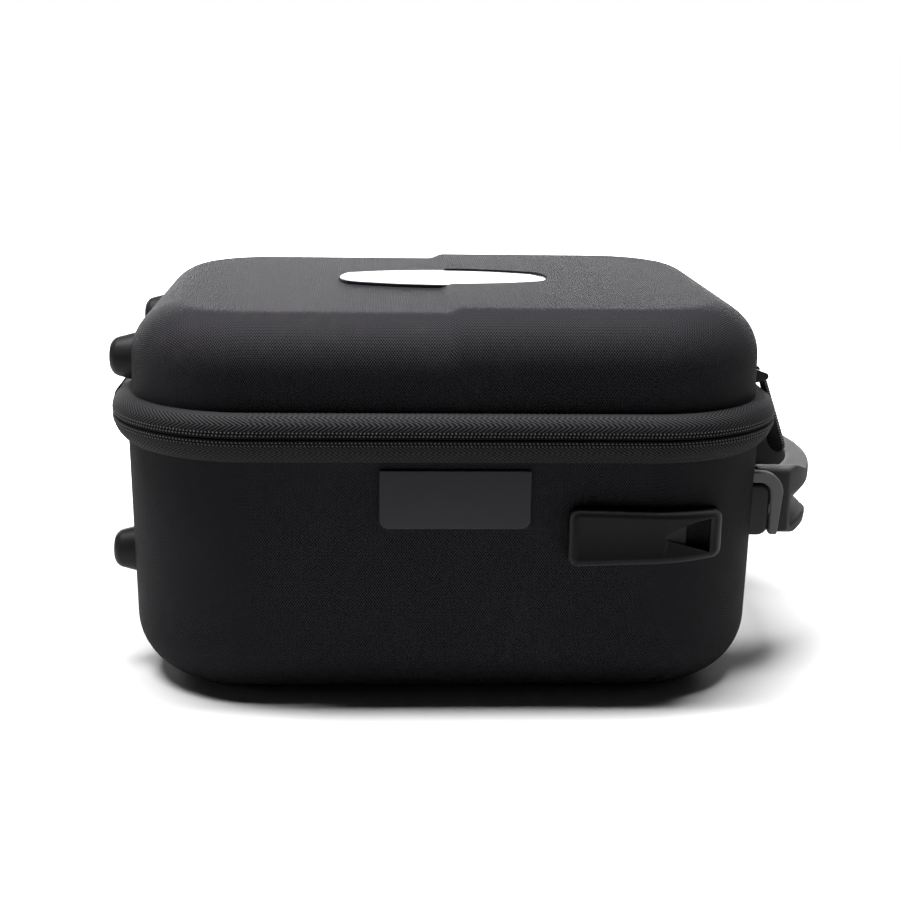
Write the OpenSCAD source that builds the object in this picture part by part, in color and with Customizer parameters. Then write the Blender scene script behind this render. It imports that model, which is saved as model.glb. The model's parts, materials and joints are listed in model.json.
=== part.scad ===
// Moulded zip case for a studio microphone and its accessories.
// +X points at the carry handle, -Y at the front wall, +Z up.
// The origin is the centre of the flat underside.

/* [Shell] */
// Length of the base from the hinge wall to the handle wall
case_length = 380; // [340:1:440]
// Width of the base from the front wall to the back wall
case_width = 320; // [280:1:360]
// Height of the zip line above the floor
seam_height = 161; // [140:1:180]
// Height of the lower half of the lid's top
lid_top_height = 226; // [215:1:245]
// Rise of the step that runs across the lid's top
step_rise = 3; // [1:0.5:4]
// Length of the ramp between the two levels
step_ramp = 8; // [4:1:16]
// Radius of the upright corners at the zip line
corner_radius = 76; // [70:1:90]
// Radius between the base's walls and its floor
floor_radius = 36; // [28:1:38]
// Radius between the lid's walls and its top
top_radius = 32; // [20:1:34]
// Lean of the base's walls, in degrees
wall_draft = 1.35; // [0.5:0.05:1.6]
// How far the lid's walls stand inside the base's
lid_inset = 3.2; // [2:0.2:5]
// Thickness of the moulded foam shell
shell_wall = 5; // [4:0.5:6]
// Thickness of the lining cloth
lining_thickness = 1; // [0.8:0.1:1.5]

/* [Zip band] */
// How far the band stands proud of the base's walls
band_proud = 8.5; // [7:0.5:10]
// Height of the band below the zip line
band_below = 17.5; // [15:0.5:20]
// Height of the band above the zip line
band_above = 13; // [11:0.5:15]
// Width of each row of teeth
teeth_height = 1.5; // [1.2:0.1:2]
// Depth of the rows of teeth
teeth_depth = 4.6; // [4:0.2:5]
// Gap between the two rows, where the slider's neck runs
teeth_gap = 1.2; // [1:0.1:1.6]
// How far the teeth lie below the band's surface
teeth_sink = 0.8; // [0.4:0.1:1]
// Thickness of the cloth of the hinge
hinge_cloth = 1; // [0.8:0.1:1.4]
// Length of the hinge along the wall
hinge_length = 156; // [100:2:160]

/* [Sliders] */
// Length of a slider along the zip
slider_length = 24; // [18:1:28]
// Height of a slider's plates
slider_height = 12; // [10:1:14]
// Thickness of a slider's outer plate
slider_plate = 1.6; // [1.2:0.1:2]
// Length of a pull
pull_length = 34; // [24:1:36]
// Width of a pull
pull_width = 9; // [7:1:12]
// Travel of the slider in front, up to the lid strap
front_slider_travel = 30; // [10:1:30]
// Travel of the slider at the back
back_slider_travel = 54; // [20:1:55]

/* [Feet] */
// Radius of a foot at the wall
foot_radius = 15; // [12:0.5:17]
// Radius of the rounding of a foot
foot_round = 5; // [3:0.5:6]
// How far the feet reach past the zip band
foot_past_band = 3; // [2:0.5:6]
// Distance of the feet from the middle of the wall
foot_offset = 80; // [60:1:84]
// Height of the base's feet above the floor
base_foot_height = 75; // [62:1:90]
// Height of the lid's feet above the zip line
lid_foot_rise = 32; // [30:1:34]

/* [Handle] */
// Height of the handle's pins
handle_height = 104; // [98:1:108]
// Distance of the pins from the wall at the zip line
handle_pin_out = 6.5; // [6:0.5:8]
// Radius of the pins
handle_pin_radius = 3; // [2.5:0.25:3.5]
// Half the length of the whole handle
handle_half = 108; // [104:1:110]
// Length of each end mount along the wall
mount_length = 6.6; // [5:0.2:8]
// How far the middle of the grip stands out from the wall
grip_out = 52; // [46:1:58]
// Thickness of the grip in its middle
grip_thickness = 13; // [11:0.5:15]
// How far the handle drops, in degrees
handle_drop = 40; // [20:1:40]

/* [Strap lugs] */
// Length of a lug
lug_length = 90; // [80:1:96]
// Height of a lug at its wide end
lug_height = 34; // [30:1:38]
// Height of a lug at its narrow end
lug_narrow = 29; // [24:1:30]
// How far a lug stands out from the wall
lug_proud = 9.5; // [9:0.5:12]
// Depth of the way behind the lug's bar
lug_channel = 6.5; // [5:0.1:7]
// Width of the lug's bar
lug_bar = 8; // [6:0.5:10]
// Distance of the lug's wide end from the middle of the wall
lug_start = 67; // [60:1:70]

/* [Tag and plate] */
// Width of the blank rubber tag
tag_width = 86; // [70:1:96]
// Height of the blank rubber tag
tag_height = 34.5; // [26:0.5:34.5]
// Thickness of the tag
tag_thickness = 2.2; // [1.5:0.1:3]
// Length of the blank oval plate on the lid
plate_length = 134; // [100:1:150]
// Width of the oval plate
plate_width = 72; // [50:1:84]
// How far the plate stands above the lower half of the lid
plate_proud = 2; // [1:0.25:2.5]

/* [Lid strap] */
// Width of the lid strap
strap_width = 25; // [20:1:25]
// Length of the lid strap from its pivot
strap_length = 52; // [40:1:52]
// Lean of the hanging strap where it rests on the band, in degrees
strap_lean = 19.4; // [18:0.2:20]

/* [Foam] */
// Thickness of the foam on the floor
floor_foam = 22; // [15:1:30]
// Depth of the pocket for the microphone
mic_pocket_depth = 88; // [60:1:95]
// Radius of the rounded pocket for the microphone
mic_pocket_radius = 36; // [28:1:37]
// Radius of the round pocket for the shock mount
mount_pocket_radius = 62; // [45:1:64]

/* [Hidden] */
$fn = 96;

half_x = case_length / 2;
half_y = case_width / 2;
centre_x = half_x - corner_radius;
centre_y = half_y - corner_radius;
far = 60;
skin = 0.15;
lean = tan(wall_draft);
lid_radius = corner_radius - lid_inset;
band_radius = corner_radius + band_proud;

// ---- outline helpers -------------------------------------------------

// Distance of the base's tilted wall from the corner's axis at height z,
// measured square to Z, for a skin that lies inset inside the outer face
function base_wall_u(z, inset) = corner_radius - inset / cos(wall_draft) - (seam_height - z) * lean;

// Right half of the base's section: u runs out from the corner's axis
module base_section(inset, top) {
    r = floor_radius - inset;
    u = base_wall_u(inset + r, inset) - r / cos(wall_draft);
    polygon([[0, inset], [u, inset], [u, inset + r],
        [u + r * cos(wall_draft), inset + r - r * sin(wall_draft)],
        [base_wall_u(top, inset), top], [0, top]]);
    intersection() {
        translate([u, inset + r]) circle(r);
        translate([u, inset]) square([2 * r, r]);
    }
}

// Right half of the lid's section, from height bottom to the closed top
module lid_section(inset, bottom, top) {
    r = top_radius - inset;
    u = lid_radius - inset;
    polygon([[0, bottom], [u, bottom], [u, top - inset - r], [u - r, top - inset - r],
        [u - r, top - inset], [0, top - inset]]);
    intersection() {
        translate([u - r, top - inset - r]) circle(r);
        translate([u - r, top - inset - r]) square(r);
    }
}

// Carries a half section round the rounded plan: it fills the middle
module round_plan(from, to) {
    rotate([90, 0, 90]) translate([0, 0, -centre_x]) linear_extrude(2 * centre_x) {
        for (side = [0, 1]) mirror([side, 0]) translate([centre_y, 0]) children();
        translate([-centre_y, from]) square([2 * centre_y, to - from]);
    }
    for (side = [0, 1]) mirror([side, 0, 0]) {
        translate([centre_x, centre_y, 0]) rotate([90, 0, 0]) linear_extrude(2 * centre_y) children();
        for (end = [0, 1]) mirror([0, end, 0])
            translate([centre_x, centre_y, 0]) rotate_extrude(angle = 90) children();
    }
}

// Carries a section that stays outside the corners' axes round the plan
module round_ring() {
    for (side = [0, 1]) mirror([0, side, 0])
        translate([-centre_x, centre_y, 0]) rotate([90, 0, 90]) linear_extrude(2 * centre_x) children();
    for (side = [0, 1]) mirror([side, 0, 0]) {
        translate([centre_x, centre_y, 0]) rotate([90, 0, 0]) linear_extrude(2 * centre_y) children();
        for (end = [0, 1]) mirror([0, end, 0])
            translate([centre_x, centre_y, 0]) rotate_extrude(angle = 90) children();
    }
}

module base_solid(inset, top = seam_height) {
    round_plan(inset, top) base_section(inset, top);
}

module lid_solid(inset, bottom = seam_height, top = lid_top_height) {
    round_plan(bottom, top - inset) lid_section(inset, bottom, top);
}

// Everything below the ramp that climbs towards +X across the lid's top
module below_ramp() {
    low = lid_top_height;
    rotate([90, 0, 0]) linear_extrude(2 * half_y, center = true)
        polygon([[step_start, seam_height], [step_start, low], [step_start + step_ramp, low + step_rise],
            [half_x, low + step_rise], [half_x, seam_height]]);
}

// Copies a piece of the front half to the back half
module at_end(end) {
    mirror([0, end == "back" ? 1 : 0, 0]) children();
}

// ---- fasteners ---------------------------------------------------------

hole_gap = 0.3;
thread_gap = 0.05;
screw_radius = 2.5;
screw_head = 4.5;
screw_head_thickness = 2.2;
washer_radius = 9;
washer_thickness = 1.5;
small_screw = 1.5;
small_head = 3;
small_head_thickness = 2;
rivet_radius = 2;
rivet_head = 4.2;
backing_thickness = 2;
inner_face = shell_wall + lining_thickness;

// A rod along X towards the wall on the side given by sign
module rod_x(sign, start, end, radius, y, z) {
    translate([sign * start, y, z]) rotate([0, sign * 90, 0]) cylinder(r = radius, h = end - start);
}

// A rod along -Y from start to end
module rod_y(start, end, radius, x, z) {
    translate([x, -start, z]) rotate([90, 0, 0]) cylinder(r = radius, h = end - start);
}

// ---- shells -------------------------------------------------------------

step_start = -2;

module base_holes(radius_gap = hole_gap) {
    for (y = [-foot_offset, foot_offset])
        rod_x(-1, half_x - far, half_x, screw_radius + radius_gap, y, base_foot_height);
    for (end = ["front", "back"]) at_end(end) {
        for (x = lug_rivet_x) rod_y(half_y - far, half_y, rivet_radius + radius_gap, x, lug_middle);
        for (z = mount_screw_z) rod_x(1, half_x - far, half_x, small_screw + radius_gap, -mount_middle, z);
    }
}

module lid_holes(radius_gap = hole_gap) {
    for (y = [-foot_offset, foot_offset])
        rod_x(-1, half_x - far, half_x, screw_radius + radius_gap, y, lid_foot_height);
    for (y = anchor_rivet_y) rod_x(1, half_x - far, half_x, rivet_radius + radius_gap, y, anchor_z);
}

module base_shell() {
    color("#1b1b1e") difference() {
        base_solid(0);
        base_solid(shell_wall, seam_height + 1);
        base_holes();
    }
}

module base_lining() {
    color("#26262a") difference() {
        base_solid(shell_wall);
        base_solid(inner_face, seam_height + 1);
        base_holes();
    }
}

module lid_outer() {
    lid_solid(0);
    intersection() {
        lid_solid(0, seam_height, lid_top_height + step_rise);
        below_ramp();
    }
}

module lid_shell() {
    color("#1b1b1e") difference() {
        lid_outer();
        lid_solid(shell_wall, seam_height - 1);
        lid_holes();
        plate_seat();
    }
}

module lid_lining() {
    color("#26262a") difference() {
        lid_solid(shell_wall);
        lid_solid(inner_face, seam_height - 1);
        lid_holes();
    }
}

// ---- zip band -------------------------------------------------------------

teeth_top = teeth_gap / 2 + teeth_height;
teeth_out = band_radius - teeth_sink;
teeth_in = teeth_out - teeth_depth;
band_round = 9;
slot_depth = 1.7;
slot_half = slider_height / 2 - 1.5;
slot_start = -62;
slot_end = 86;
slot_room = 0.4;

// Section of the band on the base, with extra cloth laid on it
module base_band_section(cloth = 0) {
    intersection() {
        translate([band_radius - band_below, seam_height]) circle(band_below + cloth);
        polygon([[corner_radius - band_below * lean, seam_height - band_below],
            [band_radius + far, seam_height - band_below - far],
            [band_radius + far, seam_height - skin], [base_wall_u(seam_height - skin, 0), seam_height - skin],
            [base_wall_u(seam_height - band_below, 0), seam_height - band_below]]);
    }
}

// Section of the band on the lid, with extra cloth laid on it
module lid_band_section(cloth = 0) {
    outer = band_radius + cloth;
    mid = seam_height + band_above - band_round;
    intersection() {
        union() {
            translate([band_radius - band_round, mid]) circle(band_round + cloth);
            translate([lid_radius, seam_height]) square([outer - lid_radius, mid - seam_height]);
        }
        translate([lid_radius, seam_height + skin]) square(far);
    }
}

// The room that a row of teeth takes in the band, towards sign
module teeth_section(sign, from = teeth_gap / 2, extra = 0) {
    low = seam_height + (sign > 0 ? from : -teeth_top);
    translate([teeth_in, low]) square([teeth_depth + extra, teeth_top - from]);
}

// Where the zip runs: all round but for the hinge's straight run
module along_zip() {
    difference() {
        children();
        translate([-half_x - far, -centre_y, 0]) cube([far + half_x - centre_x, 2 * centre_y, seam_height * 2]);
    }
}

// The way behind the teeth where the sliders' inner plates run
module slider_slot() {
    translate([centre_x + teeth_in - slot_depth, slot_start, seam_height - slot_half - slot_room])
        cube([slot_depth, slot_end - slot_start, 2 * (slot_half + slot_room)]);
}

module base_zip_tape() {
    color("#202023") difference() {
        round_ring() base_band_section();
        along_zip() round_ring() teeth_section(-1, 0, far);
        slider_slot();
    }
}

module lid_zip_tape() {
    color("#202023") difference() {
        round_ring() lid_band_section();
        along_zip() round_ring() teeth_section(1, 0, far);
        slider_slot();
    }
}

module base_zip_teeth() {
    color("#101012") along_zip() round_ring() teeth_section(-1);
}

module lid_zip_teeth() {
    color("#101012") along_zip() round_ring() teeth_section(1);
}

// ---- hinge cloth ------------------------------------------------------------

module hinge_run() {
    translate([-centre_x, hinge_length / 2, 0]) mirror([1, 0, 0]) rotate([90, 0, 0])
        linear_extrude(hinge_length) children();
}

module hinge_cloth_base() {
    color("#202023") hinge_run() difference() {
        base_band_section(hinge_cloth);
        base_band_section();
        translate([0, seam_height - band_below - far]) square([corner_radius + band_proud / 2, far * 3]);
    }
}

module hinge_cloth_lid() {
    color("#202023") hinge_run() difference() {
        lid_band_section(hinge_cloth);
        lid_band_section();
        translate([0, seam_height - far]) square([corner_radius + band_proud / 2, far * 3]);
    }
}

// ---- feet -------------------------------------------------------------------

lid_foot_height = seam_height + lid_foot_rise;
foot_reach = half_x + band_proud + foot_past_band;
foot_thread = 8;
foot_taper = 1.6;
foot_root = 6;

// Section of a foot: x is its radius and y runs out from the wall
module foot_section(height) {
    run = [-foot_taper - foot_round, height - foot_round];
    span = norm(run);
    turn = asin(foot_round / span);
    reach = sqrt(span * span - foot_round * foot_round);
    aim = atan2(run[1], run[0]) - turn;
    polygon([[0, -foot_root], [foot_radius, -foot_root], [foot_radius, 0],
        [foot_radius + reach * cos(aim), reach * sin(aim)],
        [foot_radius + run[0], run[1]], [foot_radius + run[0], height], [0, height]]);
    intersection() {
        translate([foot_radius + run[0], run[1]]) circle(foot_round);
        translate([foot_radius + run[0], 0]) square([far, height]);
    }
}

// A foot on the hinge wall; wall_x is where that wall stands
module foot(wall_x, y, z) {
    translate([-wall_x, y, z]) rotate([0, -90, 0]) rotate_extrude() foot_section(foot_reach - wall_x);
}

module base_foot(end) {
    wall_x = centre_x + base_wall_u(base_foot_height, 0);
    color("#141416") difference() {
        at_end(end) foot(wall_x, -foot_offset, base_foot_height);
        base_solid(0);
        at_end(end) rod_x(-1, wall_x - far, wall_x + foot_thread, screw_radius + thread_gap,
            -foot_offset, base_foot_height);
    }
}

module lid_foot(end) {
    wall_x = centre_x + lid_radius;
    color("#141416") difference() {
        at_end(end) foot(wall_x, -foot_offset, lid_foot_height);
        lid_solid(0);
        at_end(end) rod_x(-1, wall_x - far, wall_x + foot_thread, screw_radius + thread_gap,
            -foot_offset, lid_foot_height);
    }
}

// Washer, screw shank and screw head, cut to the inside of the lining
module foot_washer_blank(inner_x, z, radius, hole) {
    for (y = [-foot_offset, foot_offset]) difference() {
        rod_x(-1, inner_x - washer_thickness, inner_x, radius, y, z);
        if (hole > 0) rod_x(-1, inner_x - far, inner_x + 1, hole, y, z);
    }
}

module foot_screw_blank(inner_x, wall_x, z) {
    head_x = inner_x - washer_thickness;
    for (y = [-foot_offset, foot_offset]) {
        rod_x(-1, head_x - screw_head_thickness, head_x, screw_head, y, z);
        rod_x(-1, head_x, wall_x + foot_thread, screw_radius, y, z);
    }
}

base_inner_x = centre_x + base_wall_u(base_foot_height - washer_radius, inner_face) - skin;
base_foot_x = centre_x + base_wall_u(base_foot_height, 0);
lid_inner_x = centre_x + lid_radius - inner_face;
lid_foot_x = centre_x + lid_radius;

module base_foot_screws() {
    color("silver") foot_screw_blank(base_inner_x, base_foot_x - thread_gap, base_foot_height);
}

module base_foot_washers() {
    color("silver") intersection() {
        foot_washer_blank(base_inner_x, base_foot_height, washer_radius, screw_radius + thread_gap);
        base_solid(inner_face + skin);
    }
}

module lid_foot_screws() {
    color("silver") foot_screw_blank(lid_inner_x, lid_foot_x - thread_gap, lid_foot_height);
}

module lid_foot_washers() {
    color("silver") intersection() {
        foot_washer_blank(lid_inner_x, lid_foot_height, washer_radius, screw_radius + thread_gap);
        lid_solid(inner_face + skin);
    }
}

// ---- strap lugs ---------------------------------------------------------------

lug_middle = 103.5;
lug_end = lug_start + lug_length;
lug_corner = 6;
lug_rivet_margin = 11;
lug_rivet_spacing = 29;
lug_rivet_x = [lug_start + lug_rivet_margin, lug_start + lug_rivet_margin + lug_rivet_spacing];
lug_scoop = 28;
scoop_height = 20;
scoop_sink = 11;
lug_way_height = 18;
lug_thread = 6;

// Outline of a lug on the wall: x along the wall, y up
module lug_outline() {
    hull() for (corner = [[lug_start + lug_corner, lug_height / 2 - lug_corner],
        [lug_end - lug_corner, lug_narrow / 2 - lug_corner]])
        for (side = [-1, 1]) translate([corner[0], side * corner[1]]) circle(lug_corner, $fn = 32);
}

module lug(end) {
    bar_start = lug_end - lug_bar;
    scoop_start = bar_start - lug_scoop;
    color("#17171a") at_end(end) difference() {
        intersection() {
            base_solid(-lug_proud);
            translate([0, 0, lug_middle]) rotate([90, 0, 0]) linear_extrude(half_y + far) lug_outline();
        }
        base_solid(0);
        // scoop that deepens towards the bar
        intersection() {
            translate([0, 0, lug_middle]) rotate([90, 0, 0]) linear_extrude(half_y + far)
                polygon([[scoop_start, 0], [bar_start, scoop_height / 2], [bar_start, -scoop_height / 2]]);
            translate([0, 0, lug_middle - lug_height / 2]) linear_extrude(lug_height)
                polygon([[scoop_start, -half_y - lug_proud], [bar_start, -half_y + scoop_sink],
                    [bar_start, -half_y - far], [scoop_start, -half_y - far]]);
        }
        // way through behind the bar
        intersection() {
            base_solid(-lug_channel);
            translate([bar_start - lug_scoop / 2, -half_y - far, lug_middle - lug_way_height / 2])
                cube([far, 2 * far, lug_way_height]);
        }
        for (x = lug_rivet_x)
            rod_y(half_y - far, half_y + lug_thread, rivet_radius + thread_gap, x, lug_middle);
    }
}

// A plate bent to the inside of the wall behind a fixing
module inner_plate(x_range, y_range, z_range, depth = backing_thickness, from = inner_face) {
    intersection() {
        difference() {
            base_solid(from);
            base_solid(from + depth, seam_height + 1);
        }
        translate([x_range[0], y_range[0], z_range[0]])
            cube([x_range[1] - x_range[0], y_range[1] - y_range[0], z_range[1] - z_range[0]]);
    }
}

backing_past_rivet = 8;
lug_backing_height = 18;
lug_backing_x = [lug_rivet_x[0] - backing_past_rivet, lug_rivet_x[1] + backing_past_rivet];
lug_backing_z = [lug_middle - lug_backing_height / 2, lug_middle + lug_backing_height / 2];

module lug_backing(end) {
    color("silver") at_end(end) difference() {
        inner_plate(lug_backing_x, [-half_y, -half_y + far], lug_backing_z);
        for (x = lug_rivet_x) rod_y(half_y - far, half_y, rivet_radius + thread_gap, x, lug_middle);
    }
}

module lug_rivets() {
    inner_y = centre_y + base_wall_u(lug_middle, inner_face + backing_thickness);
    color("silver") for (end = ["front", "back"]) at_end(end) for (x = lug_rivet_x) {
        rod_y(inner_y, half_y + lug_thread - 1, rivet_radius, x, lug_middle);
        difference() {
            rod_y(inner_y - small_head_thickness, inner_y + 1, rivet_head, x, lug_middle);
            base_shell_room(inner_face + backing_thickness);
        }
    }
}

// All that lies outside a skin of the base
module base_shell_room(inset) {
    difference() {
        translate([-half_x - 1, -half_y - 1, 0]) cube([case_length + 2, case_width + 2, seam_height]);
        base_solid(inset, seam_height + 1);
    }
}

// ---- tag ------------------------------------------------------------------------

tag_corner = 5.5;
tag_centre_x = 2.5;
tag_top = seam_height - band_below - 1.7;

module name_tag() {
    color("#3a3b3f") difference() {
        intersection() {
            base_solid(-tag_thickness);
            translate([tag_centre_x - tag_width / 2, 0, tag_top - tag_height]) rotate([90, 0, 0])
                linear_extrude(half_y + far) {
                    translate([tag_corner, 0]) square([tag_width - 2 * tag_corner, tag_height]);
                    translate([0, tag_corner]) square([tag_width, tag_height - tag_corner]);
                    for (x = [tag_corner, tag_width - tag_corner]) translate([x, tag_corner]) circle(tag_corner);
                }
        }
        base_solid(0);
    }
}

// ---- handle ------------------------------------------------------------------------

pin_x = half_x + handle_pin_out;
mount_start = handle_half - mount_length;
mount_middle = handle_half - mount_length / 2;
mount_out = 13;
mount_half = 16.7;
mount_corner = 8;
shroud_top = 4;
shroud_side = 6;
mount_screw_spacing = 19;
mount_screw_z = [handle_height - mount_screw_spacing / 2, handle_height + mount_screw_spacing / 2];
mount_thread = 9;
screw_cut = inner_face + backing_thickness + small_head_thickness;
pin_length = 16;
pin_sunk = 5;

// Outline of an end mount: x out from the wall, y up from the pins' height
module mount_outline(out, top, bottom, corner) {
    translate([-far, -bottom]) square([far + out - corner, bottom + top]);
    translate([0, corner - bottom]) square([out, top + bottom - 2 * corner]);
    for (z = [top - corner, corner - bottom]) translate([out - corner, z]) circle(corner);
}

module mount_shape(out, top, bottom, corner) {
    translate([half_x, -mount_start, handle_height]) rotate([90, 0, 0])
        linear_extrude(mount_length) mount_outline(out, top, bottom, corner);
}

module handle_mount(end) {
    color("#121214") at_end(end) difference() {
        mount_shape(mount_out, mount_half, mount_half, mount_corner);
        base_solid(0);
        pin_bore(0);
        for (z = mount_screw_z)
            rod_x(1, half_x - far, half_x + mount_thread, small_screw + thread_gap, -mount_middle, z);
    }
}

module handle_shroud(end) {
    color("#2c2c2f") at_end(end) difference() {
        mount_shape(mount_out + shroud_side, mount_half + shroud_top, mount_half - 1, mount_corner + 1);
        mount_shape(mount_out, mount_half, mount_half, mount_corner);
        base_solid(0);
        translate([half_x - far, -handle_half - 1, handle_height - mount_half - 2])
            cube([far + mount_out - 3, mount_length + 2, mount_half]);
    }
}

module pin_bore(gap) {
    translate([pin_x, -handle_half + mount_length - pin_sunk, handle_height]) rotate([-90, 0, 0])
        cylinder(r = handle_pin_radius + gap, h = pin_length + 1);
}

module handle_pin(end) {
    color("silver") at_end(end) translate([pin_x, -handle_half + mount_length - pin_sunk, handle_height])
        rotate([-90, 0, 0]) cylinder(r = handle_pin_radius, h = pin_length);
}

module handle_screws() {
    color("silver") for (end = ["front", "back"]) at_end(end) for (z = mount_screw_z) {
        difference() {
            rod_x(1, half_x - far / 2, half_x + mount_thread - 1, small_screw, -mount_middle, z);
            base_solid(screw_cut, seam_height);
        }
        difference() {
            rod_x(1, half_x - far / 2, half_x, small_head, -mount_middle, z);
            base_solid(screw_cut, seam_height);
            base_shell_room(inner_face + backing_thickness);
        }
    }
}

mount_backing_y = [-handle_half - 2, -mount_start + 8];
mount_backing_height = 32;
mount_backing_z = [handle_height - mount_backing_height / 2, handle_height + mount_backing_height / 2];

module handle_backing(end) {
    color("silver") at_end(end) difference() {
        inner_plate([centre_x, half_x], mount_backing_y, mount_backing_z);
        for (z = mount_screw_z) rod_x(1, half_x - far, half_x, small_screw + thread_gap, -mount_middle, z);
    }
}

grip_end = mount_start - 0.4;
grip_outer_x = half_x + grip_out;
grip_inner_x = grip_outer_x - grip_thickness;
grip_foot_out = 19;
grip_outer_radius = arc_radius(grip_out - grip_foot_out, grip_end);
grip_inner_radius = 97;
grip_inner_half = 66;
grip_pad_half = 88;
grip_clear = 0.5;
grip_arch_half = 60;
grip_top = mount_half + shroud_top;
grip_mid_top = 14.5;
grip_mid_bottom = 4;
grip_low = 20;
core_out = 7;
core_thickness = 2.5;
core_half = 78;
core_height = 9;
core_rise = -0.5;

// Radius of an arc with the given rise over half its chord
function arc_radius(rise, half) = (half * half + rise * rise) / (2 * rise);

// Plan of the handle's moulding: x out from the middle of the case
module grip_plan() {
    inner_x = grip_inner_x - grip_inner_radius
        + sqrt(grip_inner_radius * grip_inner_radius - grip_inner_half * grip_inner_half);
    difference() {
        intersection() {
            translate([grip_outer_x - grip_outer_radius, 0]) circle(grip_outer_radius, $fn = 240);
            translate([half_x - far, -grip_end]) square([3 * far, 2 * grip_end]);
        }
        translate([half_x - 2 * far, -half_y]) square([2 * far - grip_clear, case_width]);
        intersection() {
            translate([grip_inner_x - grip_inner_radius, 0]) circle(grip_inner_radius, $fn = 240);
            translate([half_x - far, -grip_inner_half]) square([3 * far, 2 * grip_inner_half]);
        }
        for (side = [0, 1]) mirror([0, side])
            polygon([[half_x - far, 0], [inner_x - 1, 0], [inner_x, -grip_inner_half],
                [half_x, -grip_pad_half], [half_x - far, -grip_pad_half]]);
    }
}

// Side view of the moulding: x along the wall, y up from the pins' height
module grip_side() {
    arch = arc_radius(grip_low - grip_mid_bottom, grip_inner_half);
    difference() {
        polygon([[-grip_end, -mount_half + 1], [-grip_pad_half, -grip_low], [grip_pad_half, -grip_low],
            [grip_end, -mount_half + 1], [grip_end, grip_top], [grip_pad_half, grip_top],
            [grip_arch_half, grip_mid_top], [-grip_arch_half, grip_mid_top],
            [-grip_pad_half, grip_top], [-grip_end, grip_top]]);
        translate([0, -grip_mid_bottom - arch]) circle(arch, $fn = 240);
    }
}

// What the moulding would sweep into the wall when the handle drops
module wall_relief() {
    translate([pin_x, -half_y, handle_height]) rotate([-90, 0, 0]) linear_extrude(case_width)
        rotate(-handle_drop) translate([-2 * far - handle_pin_out + grip_clear, -far]) square([2 * far, 3 * far]);
}

module handle_core_solid() {
    radius = grip_outer_radius - core_out;
    translate([grip_outer_x - grip_outer_radius, 0, handle_height + core_rise]) intersection() {
        difference() {
            cylinder(r = radius, h = core_height, $fn = 240);
            translate([0, 0, -1]) cylinder(r = radius - core_thickness, h = core_height + 2, $fn = 240);
        }
        translate([0, -core_half, 0]) cube([2 * radius, 2 * core_half, core_height]);
    }
}

module handle_grip() {
    color("#2c2c2f") difference() {
        intersection() {
            translate([0, 0, handle_height - far]) linear_extrude(2 * far) grip_plan();
            translate([0, 0, handle_height]) rotate([90, 0, 90]) linear_extrude(half_x + 3 * far) grip_side();
        }
        for (end = ["front", "back"]) at_end(end) pin_bore(thread_gap);
        wall_relief();
        handle_core_solid();
    }
}

module handle_core() {
    color("silver") handle_core_solid();
}

// ---- sliders ----------------------------------------------------------------------------

slider_rest = slider_length / 2 + 0.5;
slider_out = half_x + band_proud + 0.4;
ear_out = 3.6;
ear_thickness = 1.4;
ear_width = 4;
pull_pin_radius = 0.9;
pull_gap = 0.25;
pull_thickness = 2.2;
pull_pin_x = slider_out + slider_plate + 1.7;
pull_pin_z = seam_height + 4;
neck_half = teeth_gap / 2 - 0.1;
inner_plate_x = centre_x + teeth_in - slot_depth + 0.3;

module slider_at(end) {
    at_end(end) translate([0, -slider_rest, 0]) children();
}

module slider_pin_hole(radius) {
    translate([pull_pin_x, 0, pull_pin_z]) rotate([90, 0, 0])
        cylinder(r = radius, h = pull_width + 2 * ear_thickness + 2, center = true);
}

module slider(end) {
    color("#3c3c40") slider_at(end) difference() {
        union() {
            translate([slider_out, -slider_length / 2, seam_height - slider_height / 2])
                cube([slider_plate, slider_length, slider_height]);
            translate([inner_plate_x, -slider_length / 2, seam_height - neck_half])
                cube([slider_out - inner_plate_x + 0.1, slider_length / 3, 2 * neck_half]);
            translate([inner_plate_x, -slider_length / 2, seam_height - slot_half])
                cube([slot_depth - 0.6, slider_length, 2 * slot_half]);
            for (side = [0, 1]) mirror([0, side, 0])
                translate([slider_out, pull_width / 2 + pull_gap, pull_pin_z - ear_width / 2])
                    cube([pull_pin_x - slider_out + ear_out / 2, ear_thickness, ear_width]);
        }
        slider_pin_hole(pull_pin_radius);
    }
}

module slider_pin(end) {
    color("silver") slider_at(end) translate([pull_pin_x, 0, pull_pin_z]) rotate([90, 0, 0])
        cylinder(r = pull_pin_radius, h = pull_width + 2 * ear_thickness + 2 * pull_gap, center = true);
}

module pull(end) {
    eye = 1.7;
    color("#1a1a1c") slider_at(end) difference() {
        union() {
            translate([pull_pin_x, 0, pull_pin_z]) rotate([90, 0, 0])
                cylinder(r = eye, h = pull_width, center = true);
            translate([pull_pin_x - pull_thickness / 2, -pull_width / 2, pull_pin_z - pull_length + pull_width / 2])
                cube([pull_thickness, pull_width, pull_length - pull_width / 2]);
            translate([pull_pin_x - pull_thickness / 2, 0, pull_pin_z - pull_length + pull_width / 2])
                rotate([0, 90, 0]) cylinder(r = pull_width / 2, h = pull_thickness);
        }
        slider_pin_hole(pull_pin_radius + thread_gap);
    }
}

// ---- plate on the lid ---------------------------------------------------------------------

plate_x = 2;
plate_y = 8;
plate_rim_width = 3;
plate_depth = 3;
plate_sink = 0.6;
plate_top = lid_top_height + plate_proud;
plate_gap = 0.8;
plate_side_radius = 130;
plate_end_radius = 40;

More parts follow.
